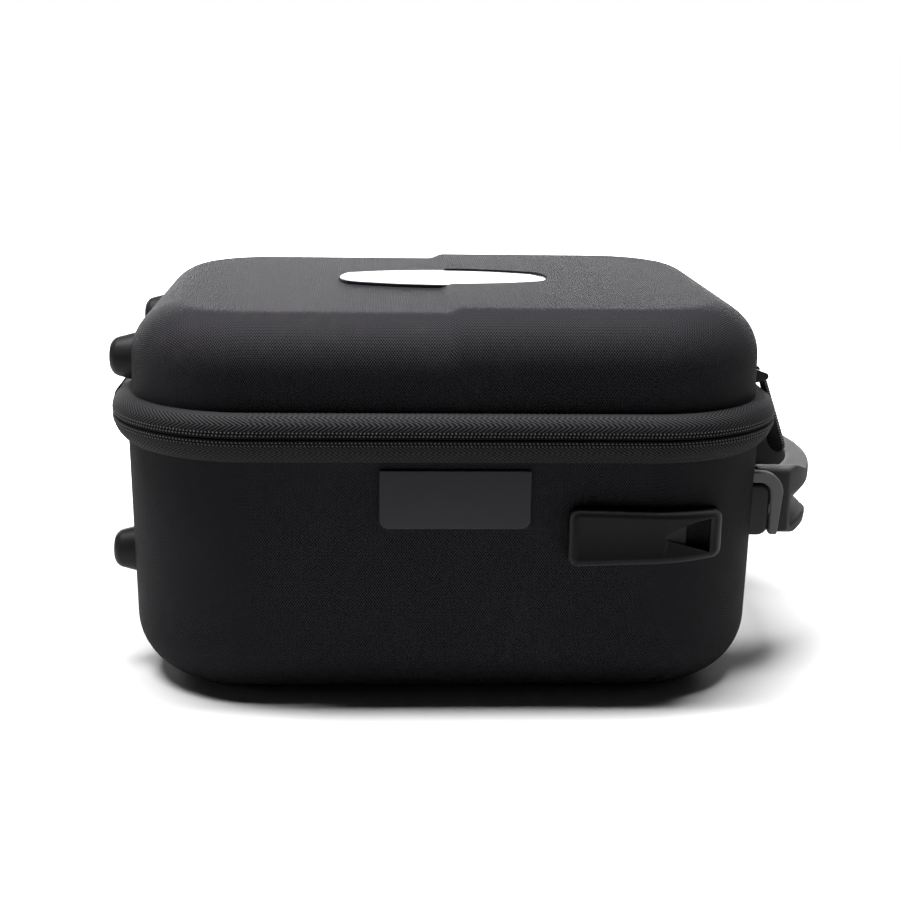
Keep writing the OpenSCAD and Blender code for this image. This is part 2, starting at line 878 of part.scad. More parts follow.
// A pointed oval: two side arcs, blunted by two round ends
module plate_outline(grow = 0) {
    side_y = plate_side_radius - plate_width / 2;
    end_x = plate_length / 2 - plate_end_radius;
    translate([plate_x, plate_y]) intersection() {
        translate([0, side_y]) circle(plate_side_radius + grow, $fn = 240);
        translate([0, -side_y]) circle(plate_side_radius + grow, $fn = 240);
        union() {
            square(2 * [end_x, plate_end_radius + grow], center = true);
            for (side = [-1, 1]) translate([side * end_x, 0]) circle(plate_end_radius + grow);
        }
    }
}

module plate_seat() {
    translate([0, 0, plate_top - plate_depth]) linear_extrude(far) plate_outline(plate_gap);
}

module plate_rim() {
    color("#101012") difference() {
        translate([0, 0, plate_top - plate_depth]) linear_extrude(plate_depth) plate_outline(0);
        translate([0, 0, plate_top - plate_sink]) linear_extrude(far) plate_outline(-plate_rim_width);
    }
}

module plate_face() {
    color("#e8e8ea") translate([0, 0, plate_top - plate_sink]) linear_extrude(plate_sink)
        plate_outline(-plate_rim_width);
}

// ---- lid strap -------------------------------------------------------------------------------

strap_from_foot = 8;
strap_middle_y = -foot_offset + strap_from_foot;
strap_thickness = 1.6;
anchor_rise = 20.5;
anchor_z = seam_height + anchor_rise;
anchor_past_pivot = 2.8;
anchor_arm = 2.5;
anchor_root = 6;
anchor_plate = 2;
strap_rivet_reach = 1.2;
anchor_height = 8;
anchor_rivet_spacing = 16;
anchor_rivet_y = [strap_middle_y - anchor_rivet_spacing / 2, strap_middle_y + anchor_rivet_spacing / 2];
strap_eye = 1.6;
strap_pin_radius = 1;
strap_gap = 0.4;
strap_rest = 0.2;
// The pivot stands so far out that the strap hangs against the band's upper rounding
strap_pivot_x = centre_x + band_radius - band_round + (band_round + strap_thickness / 2 + strap_rest
    - (anchor_z - (seam_height + band_above - band_round)) * sin(strap_lean)) / cos(strap_lean);
anchor_out = strap_pivot_x - (half_x - lid_inset) + anchor_past_pivot;

module strap_anchor() {
    wall_x = half_x - lid_inset;
    color("#161618") difference() {
        union() {
            translate([wall_x - anchor_root, strap_middle_y - strap_width / 2, anchor_z - anchor_height / 2])
                cube([anchor_root + anchor_plate, strap_width, anchor_height]);
            for (side = [-1, 1])
                translate([wall_x, strap_middle_y + side * (strap_width - anchor_arm) / 2 - anchor_arm / 2,
                    anchor_z - anchor_height / 2]) cube([anchor_out, anchor_arm, anchor_height]);
            translate([strap_pivot_x, strap_middle_y, anchor_z]) rotate([90, 0, 0])
                cylinder(r = strap_pin_radius, h = strap_width - 1, center = true);
        }
        lid_solid(0);
        for (y = anchor_rivet_y)
            rod_x(1, wall_x - far, wall_x + strap_rivet_reach, rivet_radius + thread_gap, y, anchor_z);
    }
}

module strap_rivets() {
    wall_x = half_x - lid_inset;
    color("silver") for (y = anchor_rivet_y) {
        rod_x(1, lid_inner_x, wall_x + strap_rivet_reach, rivet_radius, y, anchor_z);
        rod_x(1, lid_inner_x - small_head_thickness, lid_inner_x, rivet_head, y, anchor_z);
    }
}

module lid_strap() {
    width = strap_width - 2 * (anchor_arm + strap_gap);
    color("#1c1c1f") translate([strap_pivot_x, strap_middle_y, anchor_z]) rotate([0, -strap_lean, 0])
        difference() {
            union() {
                rotate([90, 0, 0]) cylinder(r = strap_eye + strap_pin_radius, h = width, center = true);
                translate([-strap_thickness / 2, -width / 2, -strap_length + width / 2])
                    cube([strap_thickness, width, strap_length - width / 2]);
                translate([-strap_thickness / 2, 0, -strap_length + width / 2]) rotate([0, 90, 0])
                    cylinder(r = width / 2, h = strap_thickness);
            }
            rotate([90, 0, 0]) cylinder(r = strap_pin_radius + thread_gap, h = strap_width, center = true);
        }
}

// ---- foam ----------------------------------------------------------------------------------------

foam_gap = 0.5;
foam_inset = inner_face + foam_gap;
foam_top = seam_height - 3;
hardware_depth = 6;
pocket_corner = 14;

module rounded_pocket(low, high, depth_from) {
    translate([0, 0, depth_from]) linear_extrude(far * 3) {
        translate([low[0] + pocket_corner, low[1]])
            square([high[0] - low[0] - 2 * pocket_corner, high[1] - low[1]]);
        translate([low[0], low[1] + pocket_corner])
            square([high[0] - low[0], high[1] - low[1] - 2 * pocket_corner]);
        for (x = [low[0] + pocket_corner, high[0] - pocket_corner])
            for (y = [low[1] + pocket_corner, high[1] - pocket_corner]) translate([x, y]) circle(pocket_corner);
    }
}

lid_foam_gap = 3;
// Distance of the pockets from the outside of the case
pocket_margin = 36;
mic_side_margin = 30;
mic_front_margin = 24;
mount_side_margin = 66;
foam_between = 22;
mic_length = 235;
supply_length = 126;
cable_width = 56;
cable_length = 112;
cable_depth = 70;
mic_y = -half_y + mic_front_margin + mic_pocket_radius;
mic_x = [-half_x + mic_side_margin + mic_pocket_radius,
    -half_x + mic_side_margin + mic_length - mic_pocket_radius];
supply_low = [-half_x + pocket_margin, mic_y + mic_pocket_radius + foam_between];
supply_high = [-half_x + pocket_margin + supply_length, half_y - pocket_margin];
cable_low = [half_x - pocket_margin - cable_width, -half_y + pocket_margin];
cable_high = [half_x - pocket_margin, -half_y + pocket_margin + cable_length];
mount_pocket = [half_x - mount_side_margin - mount_pocket_radius, half_y - pocket_margin - mount_pocket_radius, 0];

module mic_pocket() {
    translate([0, 0, foam_top - mic_pocket_depth]) linear_extrude(far * 2) {
        for (x = mic_x) translate([x, mic_y]) circle(mic_pocket_radius);
        translate([mic_x[0], mic_y - mic_pocket_radius])
            square([mic_x[1] - mic_x[0], 2 * mic_pocket_radius]);
    }
}

// Room for washers, plates and heads between the foam and the lining
module hardware_room() {
    for (y = [-foot_offset, foot_offset])
        rod_x(-1, half_x - inner_face - hardware_depth - 2, half_x, washer_radius + 2, y, base_foot_height);
    for (end = ["front", "back"]) at_end(end) {
        translate([lug_backing_x[0] - 2, -half_y, lug_backing_z[0] - 2])
            cube([lug_backing_x[1] - lug_backing_x[0] + 4, inner_face + hardware_depth + 2,
                lug_backing_z[1] - lug_backing_z[0] + 4]);
        translate([half_x - inner_face - hardware_depth - 12, mount_backing_y[0] - 2, mount_backing_z[0] - 2])
            cube([far, mount_backing_y[1] - mount_backing_y[0] + 4, mount_backing_z[1] - mount_backing_z[0] + 4]);
    }
}

module foam_floor() {
    color("#3a3a3e") intersection() {
        base_solid(foam_inset, foam_top);
        translate([-half_x, -half_y, 0]) cube([case_length, case_width, inner_face + floor_foam]);
    }
}

module foam_insert() {
    color("#2e2e31") difference() {
        base_solid(foam_inset, foam_top);
        translate([-half_x, -half_y, -1]) cube([case_length, case_width, inner_face + floor_foam + 1 + foam_gap]);
        hardware_room();
        mic_pocket();
        rounded_pocket(supply_low, supply_high, 0);
        translate(mount_pocket) cylinder(r = mount_pocket_radius, h = far * 4);
        rounded_pocket(cable_low, cable_high, foam_top - cable_depth);
    }
}

module lid_foam() {
    color("#2e2e31") difference() {
        lid_solid(foam_inset, seam_height + lid_foam_gap);
        for (y = [-foot_offset, foot_offset])
            rod_x(-1, lid_inner_x - hardware_depth, half_x, washer_radius + 2, y, lid_foot_height);
        translate([lid_inner_x - hardware_depth, strap_middle_y - strap_width / 2 - 2, anchor_z - 8])
            cube([far, strap_width + 4, 16]);
    }
}

// ---- the case ---------------------------------------------------------------------------------------

base_shell();
base_lining();
base_zip_tape();
base_zip_teeth();
base_foot("front");  // base_foot_front
base_foot("back");  // base_foot_back
base_foot_screws();
base_foot_washers();
lug("front");  // lug_front
lug("back");  // lug_back
lug_rivets();
lug_backing("front");  // lug_backing_front
lug_backing("back");  // lug_backing_back
name_tag();
handle_mount("front");  // handle_mount_front
handle_mount("back");  // handle_mount_back
handle_shroud("front");  // handle_shroud_front
handle_shroud("back");  // handle_shroud_back
handle_pin("front");  // handle_pin_front
handle_pin("back");  // handle_pin_back
handle_screws();
handle_backing("front");  // handle_backing_front
handle_backing("back");  // handle_backing_back
handle_grip();
handle_core();
slider("front");  // slider_front
slider("back");  // slider_back
slider_pin("front");  // slider_pin_front
slider_pin("back");  // slider_pin_back
pull("front");  // pull_front
pull("back");  // pull_back
hinge_cloth_base();
hinge_cloth_lid();
foam_floor();
foam_insert();
lid_shell();
lid_lining();
lid_zip_tape();
lid_zip_teeth();
lid_foot("front");  // lid_foot_front
lid_foot("back");  // lid_foot_back
lid_foot_screws();
lid_foot_washers();
plate_rim();
plate_face();
lid_foam();
strap_anchor();
strap_rivets();
lid_strap();
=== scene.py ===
"""The looks of a moulded zip case for a studio microphone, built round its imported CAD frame.

Lengths are metres in the frame's own axes: +X towards the carry handle, -Y towards the
front wall with the tag, +Z up through the lid.
"""

import json
import logging
import math
from contextlib import contextmanager
from dataclasses import dataclass, field
from enum import Enum
from typing import Callable, Iterator, Sequence

import bmesh
import bpy
import numpy as np
from mathutils import Matrix, Vector


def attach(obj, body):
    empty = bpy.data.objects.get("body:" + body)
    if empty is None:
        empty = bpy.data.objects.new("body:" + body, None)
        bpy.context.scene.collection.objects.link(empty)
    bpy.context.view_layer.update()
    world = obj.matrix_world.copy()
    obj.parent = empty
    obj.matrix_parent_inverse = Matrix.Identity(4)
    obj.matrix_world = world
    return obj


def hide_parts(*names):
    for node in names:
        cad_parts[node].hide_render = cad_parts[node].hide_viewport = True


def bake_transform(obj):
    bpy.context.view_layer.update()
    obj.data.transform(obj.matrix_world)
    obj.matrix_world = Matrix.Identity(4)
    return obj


logging.basicConfig(level=logging.INFO, format="%(message)s")
log = logging.getLogger("case")

MM = 0.001

Body = bpy.types.Object
Colour = tuple[float, float, float]
Point = tuple[float, float, float]
Span = tuple[float, float]
Rectangle = tuple[float, float, float, float]
Outline = list[tuple[float, float]]


# ---------------------------------------------------------------- mesh tools


class Part(Enum):
    """What an edit selects."""

    VERT = "VERT"
    EDGE = "EDGE"
    FACE = "FACE"


class Side(Enum):
    """The two ends of a piece that comes in pairs along Y."""

    FRONT = -1
    BACK = 1


def only(body: Body) -> None:
    """Makes body the one selected and active object."""
    bpy.ops.object.select_all(action="DESELECT")
    body.select_set(True)
    bpy.context.view_layer.objects.active = body


@contextmanager
def editing(body: Body) -> Iterator[None]:
    """Holds body in edit mode with everything selected.

    Args:
        body: The mesh object to edit.
    """
    only(body)
    bpy.ops.object.mode_set(mode="EDIT")
    bpy.ops.mesh.select_mode(type=Part.VERT.value)
    bpy.ops.mesh.select_all(action="SELECT")
    yield
    bpy.ops.object.mode_set(mode="OBJECT")


def choose(body: Body, part: Part, test: Callable[[Vector, Vector], bool]) -> None:
    """Selects the parts of an edited mesh that pass a test of place and direction.

    Args:
        body: The mesh object, in edit mode.
        part: Whether edges or faces are selected.
        test: Takes the part's middle and its normal, or an edge's direction.
    """
    bpy.ops.mesh.select_mode(type=part.value)
    bpy.ops.mesh.select_all(action="DESELECT")
    form = bmesh.from_edit_mesh(body.data)
    form.normal_update()
    if part is Part.FACE:
        rows = [(face, face.calc_center_median(), face.normal) for face in form.faces]
    else:
        rows = []
        for edge in form.edges:
            start, end = (vert.co for vert in edge.verts)
            rows.append((edge, (start + end) / 2, (end - start).normalized()))
    for item, place, direction in rows:
        if test(place, direction):
            item.select_set(True)
    bmesh.update_edit_mesh(body.data)


def fresh(name: str) -> Body:
    """Names the active object and its mesh, and puts its place into its mesh.

    Args:
        name: The piece's name.

    Returns:
        The object, at the origin, unturned and unscaled.
    """
    body = bpy.context.view_layer.objects.active
    body.name = name
    body.data.name = name
    only(body)
    bpy.ops.object.transform_apply(location=True, rotation=True, scale=True)
    return body


def start_cube(name: str, low: Point, high: Point) -> Body:
    """Adds a box between two corners, ready to be shaped."""
    middle = [(a + b) / 2 for a, b in zip(low, high)]
    bpy.ops.mesh.primitive_cube_add(size=1, location=middle, scale=[b - a for a, b in zip(low, high)])
    return fresh(name)


def start_loop(name: str, points: Sequence[Point], filled: bool = False) -> Body:
    """Adds a ring of vertices and sets them on a closed line of points.

    Args:
        name: The piece's name.
        points: The line's points in order.
        filled: Whether the ring gets one face.

    Returns:
        The new object.
    """
    fill = "NGON" if filled else "NOTHING"
    bpy.ops.mesh.primitive_circle_add(vertices=len(points), radius=1, fill_type=fill)
    body = fresh(name)
    for vert, point in zip(body.data.vertices, points):
        vert.co = point
    return body


def bevelled(body: Body, width: float, steps: int) -> None:
    """Rounds the selected edges in edit mode.

    Args:
        body: The edited object.
        width: The rounding's radius.
        steps: How many faces make the rounding.
    """
    bpy.ops.mesh.bevel(
        offset_type="OFFSET", offset=width, segments=steps, profile=0.5, affect="EDGES",
        clamp_overlap=False,
    )
    body.update_from_editmode()


def modified(body: Body, kind: str, **settings: object) -> None:
    """Adds a modifier, sets it and applies it.

    Args:
        body: The object to change.
        kind: The modifier's type.
        **settings: The modifier's values.
    """
    only(body)
    bpy.ops.object.modifier_add(type=kind)
    change = body.modifiers[-1]
    for key, value in settings.items():
        setattr(change, key, value)
    bpy.ops.object.modifier_apply(modifier=change.name)


def eased(body: Body, width: float, steps: int, degrees: float) -> None:
    """Rounds every edge that is sharper than an angle."""
    limit = math.radians(degrees)
    modified(body, "BEVEL", width=width, segments=steps, limit_method="ANGLE", angle_limit=limit)


def melted(body: Body, grain: float, rounds: int) -> None:
    """Remakes a piece from small blocks and runs its edges soft."""
    modified(body, "REMESH", mode="VOXEL", voxel_size=grain, adaptivity=0.0)
    modified(body, "SMOOTH", factor=0.5, iterations=rounds)


def arc_points(x: float, z: float, radius: float, turns: np.ndarray) -> Outline:
    """The points of a circle about (x, z) at some angles in radians."""
    return [(x + radius * math.cos(a), z + radius * math.sin(a)) for a in turns]


def way_from(value: float, start: float, end: float) -> float:
    """How far a value is on its way between two others, from 0 to 1."""
    return min(1.0, max(0.0, (value - start) / (end - start)))


def lay_cloth(body: Body, spot: Callable[[Vector], tuple[float, float]]) -> None:
    """Gives a mesh its cloth map, from a rule that says where a place lies on the flat cloth."""
    layer = body.data.uv_layers.new(name="cloth")
    spots = [spot(vert.co) for vert in body.data.vertices]
    for loop in body.data.loops:
        layer.data[loop.index].uv = spots[loop.vertex_index]


def soft_way(value: float, start: float, end: float) -> float:
    """The way from start to end, run soft at both of its ends."""
    way = way_from(value, start, end)
    return way * way * (3 - 2 * way)


def rounded_box(name: str, low: Point, high: Point, corner: float, steps: int) -> Body:
    """Adds a box with round upright corners."""
    body = start_cube(name, low, high)
    with editing(body):
        choose(body, Part.EDGE, lambda place, way: abs(way.z) > 0.9)
        bevelled(body, corner, steps)
    return body


def raised(name: str, points: Sequence[Point], move: Point) -> Body:
    """Adds a closed shape by moving a flat outline along a line."""
    body = start_loop(name, points, filled=True)
    with editing(body):
        bpy.ops.mesh.extrude_region_move(TRANSFORM_OT_translate={"value": move})
    tidy(body)
    return body


def cut(body: Body, *tools: Body) -> None:
    """Cuts closed shapes out of a body and removes them."""
    for tool in tools:
        modified(body, "BOOLEAN", operation="DIFFERENCE", solver="EXACT", object=tool)
        bpy.data.objects.remove(tool, do_unlink=True)


def smoothed(body: Body, degrees: float = 35) -> None:
    """Shades a body smooth but for edges sharper than an angle."""
    only(body)
    bpy.ops.object.shade_smooth_by_angle(angle=math.radians(degrees))


def tidy(body: Body) -> None:
    """Merges doubled vertices and turns the faces outwards."""
    with editing(body):
        bpy.ops.mesh.remove_doubles(threshold=1e-6)
        bpy.ops.mesh.normals_make_consistent(inside=False)


def copied(node: str, name: str) -> Body:
    """Copies a CAD node's mesh into a merged mesh of its own.

    Args:
        node: The CAD node's name.
        name: The new piece's name.

    Returns:
        The new object.
    """
    source = bpy.data.objects.get(node) or FRAME["nodes"][node]
    data = source.data.copy()
    data.transform(source.matrix_world)
    data.materials.clear()
    body = bpy.data.objects.new(name, data)
    bpy.context.collection.objects.link(body)
    data.name = name
    with editing(body):
        bpy.ops.mesh.customdata_custom_splitnormals_clear()
        bpy.ops.mesh.remove_doubles(threshold=1e-6)
    return body


def moulded(node: str, name: str, voxel: float, rounds: int) -> Body:
    """Models a moulding from a node's solid, with every edge run soft.

    Args:
        node: The CAD node whose room it fills.
        name: The new piece's name.
        voxel: The grid of the remesh.
        rounds: How often the surface is relaxed.

    Returns:
        The new object.
    """
    body = copied(node, name)
    melted(body, voxel, rounds)
    smoothed(body, 60)
    return body


def edged(node: str, name: str, width: float, steps: int) -> Body:
    """Models a plain part from a node's solid, with its sharp edges rounded.

    Args:
        node: The CAD node whose room it fills.
        name: The new piece's name.
        width: The rounding's radius.
        steps: How many faces make the rounding.

    Returns:
        The new object.
    """
    body = copied(node, name)
    modified(body, "DECIMATE", decimate_type="DISSOLVE", angle_limit=math.radians(1.5))
    eased(body, width, steps, 40)
    smoothed(body, 30)
    return body


def repeated(body: Body, places: Sequence[Matrix]) -> None:
    """Replaces a small mesh by copies of itself at many places.

    Args:
        body: The object whose mesh is repeated.
        places: Where each copy stands.
    """
    mesh = body.data
    count = len(mesh.vertices)
    flat = np.empty(count * 3)
    mesh.vertices.foreach_get("co", flat)
    corners = np.hstack([flat.reshape(-1, 3), np.ones((count, 1))])
    faces = [list(face.vertices) for face in mesh.polygons]
    points = np.vstack([corners @ np.array(place).T for place in places])[:, :3]
    all_faces = [[v + i * count for v in face] for i in range(len(places)) for face in faces]
    made = bpy.data.meshes.new(body.name)
    made.from_pydata(points.tolist(), [], all_faces)
    made.update()
    body.data = made


# ------------------------------------------------------------- shader tools


class Value:
    """A socket whose maths is written with Python's operators."""

    def __init__(self, look: "Look", socket: bpy.types.NodeSocket) -> None:
        """Wraps an output socket of a look's node tree."""
        self.look = look
        self.socket = socket

    def _do(self, operation: str, *others: "Value | float") -> "Value":
        """Adds a Math node."""
        return self.look.node("ShaderNodeMath", {"operation": operation}, *others)

    def __add__(self, other: "Value | float") -> "Value":
        """self + other."""
        return self._do("ADD", self, other)

    __radd__ = __add__

    def __sub__(self, other: "Value | float") -> "Value":
        """self - other."""
        return self._do("SUBTRACT", self, other)

    def __mul__(self, other: "Value | float") -> "Value":
        """self * other."""
        return self._do("MULTIPLY", self, other)

    __rmul__ = __mul__

    def cosine(self) -> "Value":
        """The cosine of self."""
        return self._do("COSINE", self)

    def size(self) -> "Value":
        """The absolute value of self."""
        return self._do("ABSOLUTE", self)

    def fold(self, width: float) -> "Value":
        """A zigzag of self that rises from 0 to width and falls again."""
        return self._do("PINGPONG", self, width)

    def spread(self, low: float, high: float) -> "Value":
        """A smooth step of self from 0 at low to 1 at high."""
        return self.look.node(
            "ShaderNodeMapRange", {"interpolation_type": "SMOOTHSTEP"}, self, low, high, 0.0, 1.0
        )


class Look:
    """A material under construction, with its one principled shader."""

    def __init__(self, name: str) -> None:
        """Starts an empty material."""
        self.material = bpy.data.materials.new(name)
        self.material.use_nodes = True
        self.tree = self.material.node_tree
        self.shader = self.tree.nodes["Principled BSDF"]

    def node(self, kind: str, settings: dict[str, object], *inputs: object, out: int | str = 0) -> Value:
        """Adds a node, sets it, and feeds its sockets in order.

        Args:
            kind: The node's type.
            settings: The node's own properties, which are set first.
            *inputs: A value, a link or None for each input socket.
            out: The output that is handed back.

        Returns:
            The output as a value.
        """
        made = self.tree.nodes.new(kind)
        for key, value in settings.items():
            setattr(made, key, value)
        for socket, given in zip([s for s in made.inputs if s.enabled], inputs):
            if isinstance(given, Value):
                self.tree.links.new(given.socket, socket)
            elif given is not None:
                socket.default_value = given
        outs = [s for s in made.outputs if s.enabled]
        return Value(self, outs[out] if isinstance(out, int) else made.outputs[out])

    def set(self, **sockets: float | Colour) -> None:
        """Sets the shader's own sockets, by name with underscores for blanks."""
        for key, value in sockets.items():
            socket = self.shader.inputs[key.replace("_", " ")]
            socket.default_value = (*value, 1.0) if isinstance(value, tuple) else value

    def feed(self, socket: str, value: Value) -> None:
        """Links a value that varies over the surface to a shader socket."""
        self.tree.links.new(value.socket, self.shader.inputs[socket])

    def place(self) -> Value:
        """The point on the piece, in metres."""
        return self.node("ShaderNodeTexCoord", {}, out="Object")

    def laid(self) -> tuple[Value, Value]:
        """The two coordinates of the cloth map, in metres."""
        both = self.node("ShaderNodeUVMap", {"uv_map": "cloth"})
        along = self.node("ShaderNodeSeparateXYZ", {}, both)
        across = Value(self, along.socket.node.outputs[1])
        return along, across

    def noise(self, size: float, detail: float, rough: float, where: Value | None = None) -> Value:
        """Smooth noise from 0 to 1."""
        return self.node(
            "ShaderNodeTexNoise", {"noise_dimensions": "3D"}, where or self.place(), 1 / size, detail, rough
        )

    def tint(self, share: Value, first: Colour | Value, second: Colour) -> Value:
        """A colour between two colours."""
        start = first if isinstance(first, Value) else (*first, 1.0)
        return self.node("ShaderNodeMix", {"data_type": "RGBA"}, share, start, (*second, 1.0))

    def relief(self, height: Value, depth: float, strength: float) -> None:
        """Bumps the surface by a height from 0 to 1.

        Args:
            height: The height.
            depth: How many metres a height of 1 stands for.
            strength: The share of the bump that shows.
        """
        bump = self.tree.nodes.new("ShaderNodeBump")
        bump.inputs["Strength"].default_value = strength
        bump.inputs["Distance"].default_value = depth
        self.tree.links.new(height.socket, bump.inputs["Height"])
        self.feed("Normal", Value(self, bump.outputs["Normal"]))


TURN = 2 * math.pi


# ------------------------------------------------------------------ finishes


@dataclass(frozen=True)
class MouldedCloth:
    """Woven polyester drawn over a moulding: staggered yarns with dark eyes between them."""

    name: str = "shell_cloth"
    yarn: Colour = (0.024, 0.0225, 0.0270)
    eye: Colour = (0.0003, 0.0003, 0.0004)
    dust: Colour = (0.042, 0.039, 0.040)
    across_pitch: float = 1.50 * MM
    along_pitch: float = 2.14 * MM
    sheen: float = 0.03

    def make(self) -> bpy.types.Material:
        """Builds the material."""
        look = Look(self.name)
        across, along = look.laid()
        ridge = (across * (TURN / self.across_pitch)).cosine()
        knot = 0.5 + 0.5 * ridge * (along * (TURN / self.along_pitch)).cosine()
        slub = look.noise(9 * MM, 3.0, 0.6)
        body = look.tint(knot.spread(0.22, 0.62), self.eye, self.yarn)
        worn = look.noise(60 * MM, 4.0, 0.6).spread(0.45, 0.75) * slub.spread(0.4, 0.7) * 0.3
        look.feed("Base Color", look.tint(worn, body, self.dust))
        look.feed("Roughness", 0.62 + 0.14 * slub)
        look.set(Sheen_Weight=self.sheen, Sheen_Roughness=0.4, Sheen_Tint=(0.75, 0.72, 0.72),
                 Specular_IOR_Level=0.1)
        look.relief(knot * 0.7 + ridge * 0.2, 0.40 * MM, 0.9)
        return look.material


@dataclass(frozen=True)
class Tape:
    """Zip tape woven in a herringbone that turns at even widths."""

    name: str = "zip_tape"
    high: Colour = (0.034, 0.033, 0.036)
    low: Colour = (0.003, 0.003, 0.0035)
    rib_pitch: float = 3.1 * MM
    turn_width: float = 5.2 * MM
    turn_shift: float = 2.7 * MM
    slope: float = 1.7
    seam_zone: float = 4.6 * MM

    def make(self) -> bpy.types.Material:
        """Builds the material."""
        look = Look(self.name)
        along, across = look.laid()
        zigzag = (across.size() + (2 * self.turn_width - self.turn_shift)).fold(self.turn_width)
        phase = (along - zigzag * self.slope) * (TURN / self.rib_pitch)
        rib = (0.5 + 0.5 * phase.cosine()) * across.size().spread(self.seam_zone - 0.6 * MM, self.seam_zone)
        grain = look.noise(0.9 * MM, 2.0, 0.6)
        height = rib * 0.85 + grain * 0.2
        look.feed("Base Color", look.tint(height.spread(0.2, 0.95), self.low, self.high))
        look.feed("Roughness", 0.66 + 0.2 * grain)
        look.set(Sheen_Weight=0.04, Sheen_Roughness=0.4, Sheen_Tint=(0.8, 0.8, 0.8), Specular_IOR_Level=0.12)
        look.relief(height, 0.30 * MM, 0.8)
        return look.material


@dataclass(frozen=True)
class Webbing:
    """Flat woven nylon with fine ribs across and a firm edge."""

    name: str = "webbing"
    high: Colour = (0.050, 0.050, 0.052)
    low: Colour = (0.008, 0.008, 0.009)
    edge: Colour = (0.30, 0.30, 0.30)
    edge_from: float = 8.9 * MM
    rib_pitch: float = 1.6 * MM
    thread_pitch: float = 1.2 * MM

    def make(self) -> bpy.types.Material:
        """Builds the material."""
        look = Look(self.name)
        along, across = look.laid()
        rib = 0.5 + 0.5 * (along * (TURN / self.rib_pitch)).cosine()
        thread = 0.5 + 0.5 * (across * (TURN / self.thread_pitch) + rib * 3.1).cosine()
        height = rib * 0.6 + thread * 0.4
        woven = look.tint(height.spread(0.1, 0.9), self.low, self.high)
        selvage = across.size().spread(self.edge_from, self.edge_from + 0.5 * MM) * rib.spread(0.3, 0.7)
        look.feed("Base Color", look.tint(selvage, woven, self.edge))
        look.feed("Roughness", 0.55 + 0.25 * thread)
        look.set(Sheen_Weight=0.3, Sheen_Roughness=0.4, Specular_IOR_Level=0.35)
        look.relief(height, 0.3 * MM, 0.8)
        return look.material


@dataclass(frozen=True)
class Moulding:
    """Moulded plastic or rubber: a fine grain, uneven gloss and a little dust on it, and, where asked, a
    painted highlight on marked edges.
    """

    name: str
    colour: Colour
    worn: Colour
    roughness: float
    grain: float = 0.7 * MM
    grain_depth: float = 0.03 * MM
    coat: float = 0.0
    mottle: float = 0.25
    shine: float = 0.3
    painted_edge_highlight: Colour | None = None

    def make(self) -> bpy.types.Material:
        """Builds the material."""
        look = Look(self.name)
        cloud = look.noise(14 * MM, 4.0, 0.55)
        grain = look.noise(self.grain, 3.0, 0.6)
        scuff = look.noise(5 * MM, 5.0, 0.7)
        colour = look.tint(cloud * self.mottle + scuff.spread(0.6, 0.8) * 0.3, self.colour, self.worn)
        # Painted highlight: the colour is lightened where the 'edge' attribute marks a rounded rim, standing
        # in for light caught on the rim.
        if self.painted_edge_highlight:
            mark = look.node("ShaderNodeAttribute", {"attribute_name": "edge"}, out="Fac")
            colour = look.tint(mark, colour, self.painted_edge_highlight)
        look.feed("Base Color", colour)
        look.feed("Roughness", self.roughness - 0.06 + 0.12 * cloud + 0.08 * scuff)
        look.set(Specular_IOR_Level=self.shine, Coat_Weight=self.coat, Coat_Roughness=0.25)
        look.relief(grain, self.grain_depth, 0.6)
        return look.material


@dataclass(frozen=True)
class Metal:
    """Plated or lacquered metal with fine drawn lines and dull spots."""

    name: str
    colour: Colour
    dull: Colour
    roughness: float
    metallic: float

    def make(self) -> bpy.types.Material:
        """Builds the material."""
        look = Look(self.name)
        where = look.node("ShaderNodeMapping", {}, look.place(), None, None, (1.0, 14.0, 14.0))
        drawn = look.noise(6 * MM, 3.0, 0.6, where)
        spots = look.noise(3 * MM, 4.0, 0.6)
        look.feed("Base Color", look.tint(spots.spread(0.45, 0.7) * 0.6, self.colour, self.dull))
        look.feed("Roughness", self.roughness + 0.15 * drawn + 0.1 * spots)
        look.set(Metallic=self.metallic)
        look.relief(drawn, 0.02 * MM, 0.5)
        return look.material


@dataclass(frozen=True)
class Foam:
    """Cut open-cell foam."""

    name: str = "foam"
    skin: Colour = (0.062, 0.062, 0.068)
    cell: Colour = (0.020, 0.020, 0.023)
    cell_size: float = 1.4 * MM

    def make(self) -> bpy.types.Material:
        """Builds the material."""
        look = Look(self.name)
        cells = look.node("ShaderNodeTexVoronoi", {"feature": "F1"}, look.place(), None, 1 / self.cell_size)
        cloud = look.noise(40 * MM, 4.0, 0.6)
        walls = cells.spread(0.15, 0.7)
        look.feed("Base Color", look.tint(walls * 0.7 + cloud * 0.3, self.cell, self.skin))
        look.feed("Roughness", 0.85 + 0.12 * cloud)
        look.set(Specular_IOR_Level=0.15)
        look.relief(walls, 0.4 * MM, 0.8)
        return look.material


@dataclass(frozen=True)
class Pile:
    """Short brushed pile of the lining."""

    name: str = "lining_cloth"
    high: Colour = (0.052, 0.052, 0.058)
    low: Colour = (0.020, 0.020, 0.023)

    def make(self) -> bpy.types.Material:
        """Builds the material."""
        look = Look(self.name)
        fibres = look.noise(0.8 * MM, 4.0, 0.7)
        brushed = look.noise(22 * MM, 3.0, 0.6)
        look.feed("Base Color", look.tint(fibres * 0.7 + brushed * 0.3, self.low, self.high))
        look.feed("Roughness", 0.85 + 0.1 * fibres)
        look.set(Sheen_Weight=0.5, Sheen_Roughness=0.5, Specular_IOR_Level=0.15)
        look.relief(fibres, 0.3 * MM, 0.7)
        return look.material


